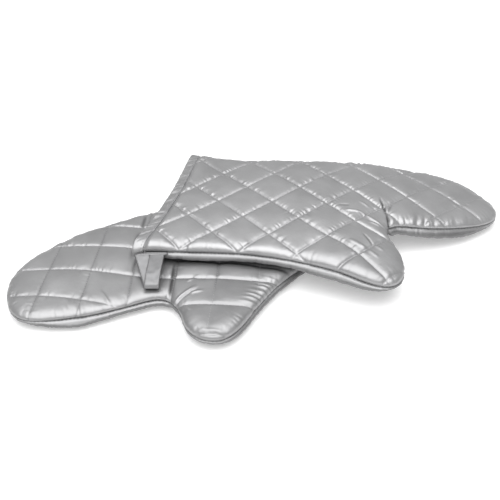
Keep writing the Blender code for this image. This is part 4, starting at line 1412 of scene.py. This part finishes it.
def tab_shape(mitt):
    """The stub of the loop's tape that is caught in the seam."""
    place, along, out = mitt.seam_frame(BINDING_WIDTH + 3 * CLEARANCE + TAB_LENGTH / 2)
    points = []
    for share in np.linspace(-1, 1, TAB_SECTIONS):
        thin = 0.35 + 0.65 * (1 - abs(share) ** 6)
        ring = [(reach, half * thin) for reach, half in zip(TAB_REACHES, TAB_HALVES)]
        for reach, height in ring + [(reach, -half) for reach, half in ring[::-1]]:
            points.append((*(place + along * share * TAB_LENGTH / 2 + out * reach), height))
    return mitt.world(np.array(points)), tube_faces(TAB_SECTIONS, 2 * len(TAB_HALVES))


class MITTS_OT_loops(bpy.types.Operator):
    """Builds the hanging loops, folded silver tapes with stitched edges, and their stubs in the seam"""

    bl_idname = "mitts.loops"
    bl_label = "Hanging Loops"

    def execute(self, context):
        settings = context.scene.mitts
        tape = finish_for("loop_tape", silver_tape, settings)
        thread = finish_for("twisted_thread", thread_finish, settings)
        for mitt, seed in zip(MITTS, (5.0, 8.0)):
            loop = Loop(mitt)
            points, faces, around = loop_shape(loop, seed, settings)
            whole = mesh_object(mitt.name("loop_tape"), *joined([(points, faces), root_shape(loop)]))
            finish_piece(whole, tape, mitt.loop, "silver_tape", mitt.name("hanging_loop"))
            grid = points.reshape(-1, around, 3)[2:-2]
            rows = []
            for column, opposite in ((1, around - 1), (TAPE_ACROSS - 2, TAPE_ACROSS)):
                for near, far in ((column, opposite), (opposite, column)):
                    rows.append(stitch_run(grid[:, near], grid[:, near] - grid[:, far], settings))
            edging = mesh_object(mitt.name("loop_stitches"), *joined(rows))
            finish_piece(edging, thread, mitt.loop, "thread")
            tab = mesh_object(mitt.name("loop_stub"), *tab_shape(mitt))
            finish_piece(tab, tape, mitt.glove, "silver_tape", mitt.name("loop_tab"))
        return {"FINISHED"}


HEM_WAVE = 0.0009
HEM_SECTION = (  # upper half of the turned-in hems: inset from the seam's edge and half the thickness
    (SEAM_RECESS - 0.0005, 0.6 * SEAM_HALF_GAP),
    (SEAM_RECESS + 0.0012, SEAM_HALF_GAP),
    (SEAM_RECESS + 0.0022, ALLOWANCE_THICKNESS / 2),
    (SEAM_RECESS + ALLOWANCE_WIDTH, ALLOWANCE_THICKNESS / 2),
)

# Edges of the inner layers, in rows as for a cover: inset, share of the face's height, no bulge
LINING_ROWS = np.array((
    (LINING_INSET, SEAM_HALF_GAP / FACE_HEIGHT, 0),
    (LINING_INSET + 0.0005, 0.0009 / FACE_HEIGHT, 0),
    (LINING_INSET + 0.0020, 0.3, 0),
))
WADDING_INSET = SEAM_RECESS + 0.0016 + ALLOWANCE_WIDTH
WADDING_ROWS = np.array(((WADDING_INSET, 0.15, 0), (WADDING_INSET + 0.0014, 0.35, 0)))
LINING_PRESS = 0.0004  # how far the wadding's diamonds press into the lining
LINING_CHANNEL = 0.008
LINING_GAP = 0.0003  # under the wadding
WADDING_CHANNEL = 0.006
WADDING_ROLL = 0.006
WADDING_FLOOR = 0.0013  # its lowest height over the seam plane
WADDING_PUFF = 0.0008
WADDING_LEAST = 0.0004  # its least thickness


class MITTS_OT_insides(bpy.types.Operator):
    """Builds the wadding, the lining and the turned-in seam of both mitts"""

    bl_idname = "mitts.insides"
    bl_label = "Wadding, Lining and Seam"

    def execute(self, context):
        settings = context.scene.mitts
        fleece = finish_for("felted_wadding", fleece_finish, settings)
        cotton = finish_for("woven_lining", lining_finish, settings)
        silver = finish_for("silver_cloth", silver_cloth, settings)
        for mitt in MITTS:
            for side, word in FACES:
                self.add_lining(mitt, side, word, cotton)
                self.add_wadding(mitt, side, word, fleece)
            points, faces = self.seam_strip()
            seam = mesh_object(mitt.name("seam_strip"), mitt.world(points), faces)
            finish_piece(seam, silver, mitt.glove, "silver_fabric", mitt.name("seam_allowance"))
        return {"FINISHED"}

    def add_lining(self, mitt, side, word, material):
        """The lining of one side of the pocket, caught in the seam and drawn up to the wadding."""
        lining = build_panel(mitt.quilt_origin, LAYER_STEPS, LINING_ROWS, LAYER_START, side)
        press = LINING_PRESS * puff_form(lining.cells, LINING_CHANNEL)
        height = lining.height.copy()
        top = len(height) - lining.ring_count
        height[-top:] -= WALL + LINING_GAP - press[-top:]
        shape = np.column_stack([lining.flat, np.maximum(height, SEAM_HALF_GAP)])
        cloth = mesh_object(mitt.name(f"{word}_pocket_lining"), mitt.world(shape, side), lining.faces)
        finish_piece(cloth, material, mitt.glove, "lining", mitt.name(f"{word}_lining"))
        mitt.name(f"{word}_wadding_pad")

    def add_wadding(self, mitt, side, word, material):
        """The wadding of one face, puffed between the quilting lines and thin at the seam."""
        wadding = build_panel(mitt.quilt_origin, LAYER_STEPS, WADDING_ROWS, LAYER_START, side)
        form = puff_form(wadding.cells, WADDING_CHANNEL)
        form = form * smooth_step((wadding.distance - SEAM_RECESS) / WADDING_ROLL)
        height = crown(wadding.distance, wadding.flat, side)
        roof = height - SHELL_THICKNESS - 2 * CLEARANCE
        floor = np.maximum(height - WALL + LINING_THICKNESS + CLEARANCE, WADDING_FLOOR)
        roof = np.maximum(roof - WADDING_PUFF * (1 - form), floor + WADDING_LEAST)
        points, faces = layer_solid(wadding.flat, roof, floor, wadding.faces)
        pad = mesh_object(mitt.name(f"{word}_wadding_pad"), mitt.world(points, side), faces)
        finish_piece(pad, material, mitt.glove, "wadding", mitt.name(f"{word}_wadding"))

    def seam_strip(self):
        """The two hems sewn together and turned in, gathered a little along the seam."""
        step = 2 * EDGE_STEP
        edge, normals = edge_points(step)
        wave = 0.25 * SEAM_HALF_GAP * np.sin(np.arange(len(edge)) * step / HEM_WAVE)
        upper = [(edge + normals * inset, half) for inset, half in HEM_SECTION]
        section = upper + [(flat, -half) for flat, half in upper[::-1]]
        points = np.stack([np.column_stack([flat, half + wave]) for flat, half in section], axis=1)
        return points.reshape(-1, 3), tube_faces(len(edge), len(section))


def fleece_finish(settings):
    """Matt off-white wadding with a felted surface."""
    material, tree, shader = new_material("felted_wadding", {"Roughness": 0.95})
    felt = texture(tree, "Noise", 420, Detail=5)
    tree.links.new(shades(tree, felt, settings.wadding_colour, 0.88, 1), shader.inputs["Base Color"])
    roughen(tree, shader, felt, 0.0006, 1)
    return material


def lining_finish(settings):
    """Plain woven cotton: two sets of threads, over and under each other."""
    material, tree, shader = new_material("woven_lining", {"Roughness": 0.9})
    weave = [texture(tree, "Wave", 520, axis, Distortion=1.2) for axis in "XY"]
    over = add_node(tree, "Math", {0: weave[0], 1: weave[1]}, operation="MAXIMUM").outputs[0]
    tree.links.new(shades(tree, over, settings.lining_colour, 0.7, 1), shader.inputs["Base Color"])
    roughen(tree, shader, over, 0.0003, 0.5)
    return material


# Camera, as fitted to the photograph
SENSOR = 36.0
CAMERA_FOCUS_SHARE = 1.63  # focal length, of the sensor
CAMERA_ELEVATION = math.radians(35.07)
CAMERA_DISTANCE = 0.800
CAMERA_TARGET = (-0.0149, -0.0245, 0.020)

# Floor and lamps: places and sizes of the lamps, and their power in the settings
WALL_STOPS = (0.66, 0.94)  # heights between which the walls brighten, from 0 below to 1 overhead
FLOOR_REACH = 20
FLOOR_GAP = 0.0002  # under the mitts
LAMPS = {
    "overhead": ((-0.10, -0.35, 1.4), (2.0, 2.2), "overhead_power"),
    "front": ((0.2, -1.8, 0.50), (2.4, 0.6), "front_power"),
}


class MITTS_OT_stage(bpy.types.Operator):
    """Sets up the floor, the soft lamps, the surroundings and the camera"""

    bl_idname = "mitts.stage"
    bl_label = "Stage"

    def execute(self, context):
        settings = context.scene.mitts_stage
        scene = context.scene
        corners = [(x * FLOOR_REACH, y * FLOOR_REACH, 0) for x, y in ((-1, -1), (1, -1), (1, 1), (-1, 1))]
        floor = mesh_object("floor", corners, [(0, 1, 2, 3)])
        floor.location.z = -FLOOR_GAP
        floor.data.materials.append(floor_paint(settings))
        for name, (place, size, power) in LAMPS.items():
            lamp = bpy.data.lights.new(name, "AREA")
            lamp.shape = "RECTANGLE"
            lamp.size, lamp.size_y = size
            lamp.energy = getattr(settings, power)
            obj = bpy.data.objects.new(name, lamp)
            obj.location = place
            obj.rotation_euler = (-Vector(place)).to_track_quat("-Z", "Y").to_euler()
            scene.collection.objects.link(obj)
        surroundings(scene, settings)
        camera = bpy.data.cameras.new("camera")
        camera.sensor_width = SENSOR
        camera.lens = CAMERA_FOCUS_SHARE * SENSOR
        obj = bpy.data.objects.new("camera", camera)
        back = Vector((0, -math.cos(CAMERA_ELEVATION), math.sin(CAMERA_ELEVATION)))
        obj.location = Vector(CAMERA_TARGET) + back * CAMERA_DISTANCE
        obj.rotation_euler = back.to_track_quat("Z", "Y").to_euler()
        scene.collection.objects.link(obj)
        scene.camera = obj
        scene.view_settings.view_transform = "Standard"
        return {"FINISHED"}


def surroundings(scene, settings):
    """The plain pale walls of a studio, darker low down and brighter overhead."""
    world = bpy.data.worlds.new("surroundings")
    world.use_nodes = True
    tree = world.node_tree
    place = add_node(tree, "TexCoord", {}).outputs["Generated"]
    height = add_node(tree, "SeparateXYZ", {0: place}).outputs["Z"]
    low, high = settings.wall_light, settings.ceiling_light
    light = shades(tree, height, (1, 1, 1), low, high, WALL_STOPS, "EASE")
    tree.links.new(light, tree.nodes["Background"].inputs["Color"])
    scene.world = world


def floor_paint(settings):
    """Matt white, a little lifted where it is seen directly, so that it meets the white backdrop."""
    values = {"Roughness": 0.9, "Specular IOR Level": 0.1, "Emission Color": (1, 1, 1, 1)}
    values["Base Color"] = (*settings.floor_colour, 1)
    material, tree, shader = new_material("floor_paint", values)
    rays = add_node(tree, "LightPath", {}).outputs
    seen = rays["Is Camera Ray"]
    for kind in ("Is Glossy Ray", "Is Transmission Ray"):
        seen = add_node(tree, "Math", {0: seen, 1: rays[kind]}, operation="MAXIMUM").outputs[0]
    lift = add_node(tree, "Math", {0: seen, 1: settings.floor_lift}, operation="MULTIPLY").outputs[0]
    tree.links.new(lift, shader.inputs["Emission Strength"])
    return material


def size_prop(name, description, default):
    return bpy.props.FloatProperty(
        name=name, description=description, default=default, min=0, unit="LENGTH", precision=5
    )


def share_prop(name, description, default):
    return bpy.props.FloatProperty(
        name=name, description=description, default=default, min=0, max=1, subtype="FACTOR"
    )


def power_prop(name, description, default):
    return bpy.props.FloatProperty(name=name, description=description, default=default, min=0, unit="POWER")


def colour_prop(name, description, default):
    return bpy.props.FloatVectorProperty(
        name=name, description=description, default=default, size=3, min=0, max=1, subtype="COLOR"
    )


class MittSettings(bpy.types.PropertyGroup):
    puff_height: size_prop("Puff height", "Rise of the padded diamonds over the quilting lines", 0.0027)
    edge_puff: size_prop("Edge puff", "How much fuller the diamonds are beside the seam", 0.0010)
    finger_flatness: share_prop("Finger flatness", "How much flatter the fingers' diamonds are", 0.42)
    channel_width: size_prop("Channel width", "Width of the slope beside a quilting line", 0.0016)
    drift_cap: size_prop("Drift cap", "How far settling cloth may move sideways", 0.0010)
    pucker_height: size_prop("Pucker height", "Height of the folds beside the quilting lines", 0.0005)
    pucker_spacing: size_prop("Pucker spacing", "Between the folds beside the quilting lines", 0.0036)
    seam_pucker_height: size_prop("Seam pucker height", "Height of the folds across the seam", 0.0005)
    seam_pucker_spacing: size_prop("Seam pucker spacing", "Between the folds across the seam", 0.0045)
    binding_fold_height: size_prop("Binding fold height", "Height of the folds in the cuff's tape", 0.0006)
    binding_fold_spacing: size_prop("Binding fold spacing", "Between the folds in the cuff's tape", 0.0080)
    stitch_length: size_prop("Stitch length", "Length of one stitch", 0.0026)
    stitch_gap: size_prop("Stitch gap", "Between two stitches of a row", 0.0009)
    thread_width: size_prop("Thread width", "Width of the sewing thread", 0.0005)
    tape_wave: size_prop("Tape wave", "How far the loop's tape waves", 0.0005)
    tape_cup: size_prop("Tape cup", "How far the loop's tape cups along its middle", 0.0003)
    silver_colour: colour_prop("Silver", "Colour of the silver-coated cloth", (0.38, 0.38, 0.385))
    silver_roughness: share_prop("Silver roughness", "Roughness of the silver film", 0.40)
    silver_metal: share_prop("Silver metal", "How metallic the silver film is", 0.65)
    tape_colour: colour_prop("Tape", "Colour of the loops' tape", (0.25, 0.25, 0.255))
    tape_roughness: share_prop("Tape roughness", "Roughness of the loops' tape", 0.46)
    thread_colour: colour_prop("Thread", "Colour of the sewing thread", (0.33, 0.33, 0.335))
    wadding_colour: colour_prop("Wadding", "Colour of the wadding", (0.86, 0.85, 0.82))
    lining_colour: colour_prop("Lining", "Colour of the lining", (0.74, 0.74, 0.72))


class MittStageSettings(bpy.types.PropertyGroup):
    overhead_power: power_prop("Overhead lamp", "Power of the soft lamp over the mitts", 34)
    front_power: power_prop("Front lamp", "Power of the soft lamp beside the camera", 1.5)
    wall_light: share_prop("Wall light", "Brightness of the walls", 0.46)
    ceiling_light: share_prop("Ceiling light", "Brightness of the ceiling", 0.95)
    floor_lift: share_prop("Floor lift", "How far the floor is lifted towards white where it is seen", 0.33)
    floor_colour: colour_prop("Floor", "Colour of the floor", (0.74, 0.74, 0.74))


class MITTS_PT_panel(bpy.types.Panel):
    bl_label = "Oven Mitts"
    bl_idname = "MITTS_PT_panel"
    bl_space_type = "VIEW_3D"
    bl_region_type = "UI"
    bl_category = "Mitts"

    def draw(self, context):
        for settings in (context.scene.mitts, context.scene.mitts_stage):
            for name in settings.__annotations__:
                self.layout.prop(settings, name)
        for operator in OPERATORS:
            self.layout.operator(operator.bl_idname)


OPERATORS = (
    MITTS_OT_stage,
    MITTS_OT_covers,
    MITTS_OT_quilting,
    MITTS_OT_insides,
    MITTS_OT_bindings,
    MITTS_OT_loops,
)
CLASSES = (MittSettings, MittStageSettings, *OPERATORS, MITTS_PT_panel)


def register():
    for cls in CLASSES:
        bpy.utils.register_class(cls)
    bpy.types.Scene.mitts = bpy.props.PointerProperty(type=MittSettings)
    bpy.types.Scene.mitts_stage = bpy.props.PointerProperty(type=MittStageSettings)


def unregister():
    del bpy.types.Scene.mitts
    del bpy.types.Scene.mitts_stage
    for cls in reversed(CLASSES):
        bpy.utils.unregister_class(cls)


def main():
    register()
    mitts = bpy.ops.mitts
    for build in (mitts.stage, mitts.covers, mitts.quilting, mitts.insides, mitts.bindings, mitts.loops):
        build()


if __name__ == "__main__":
    main()
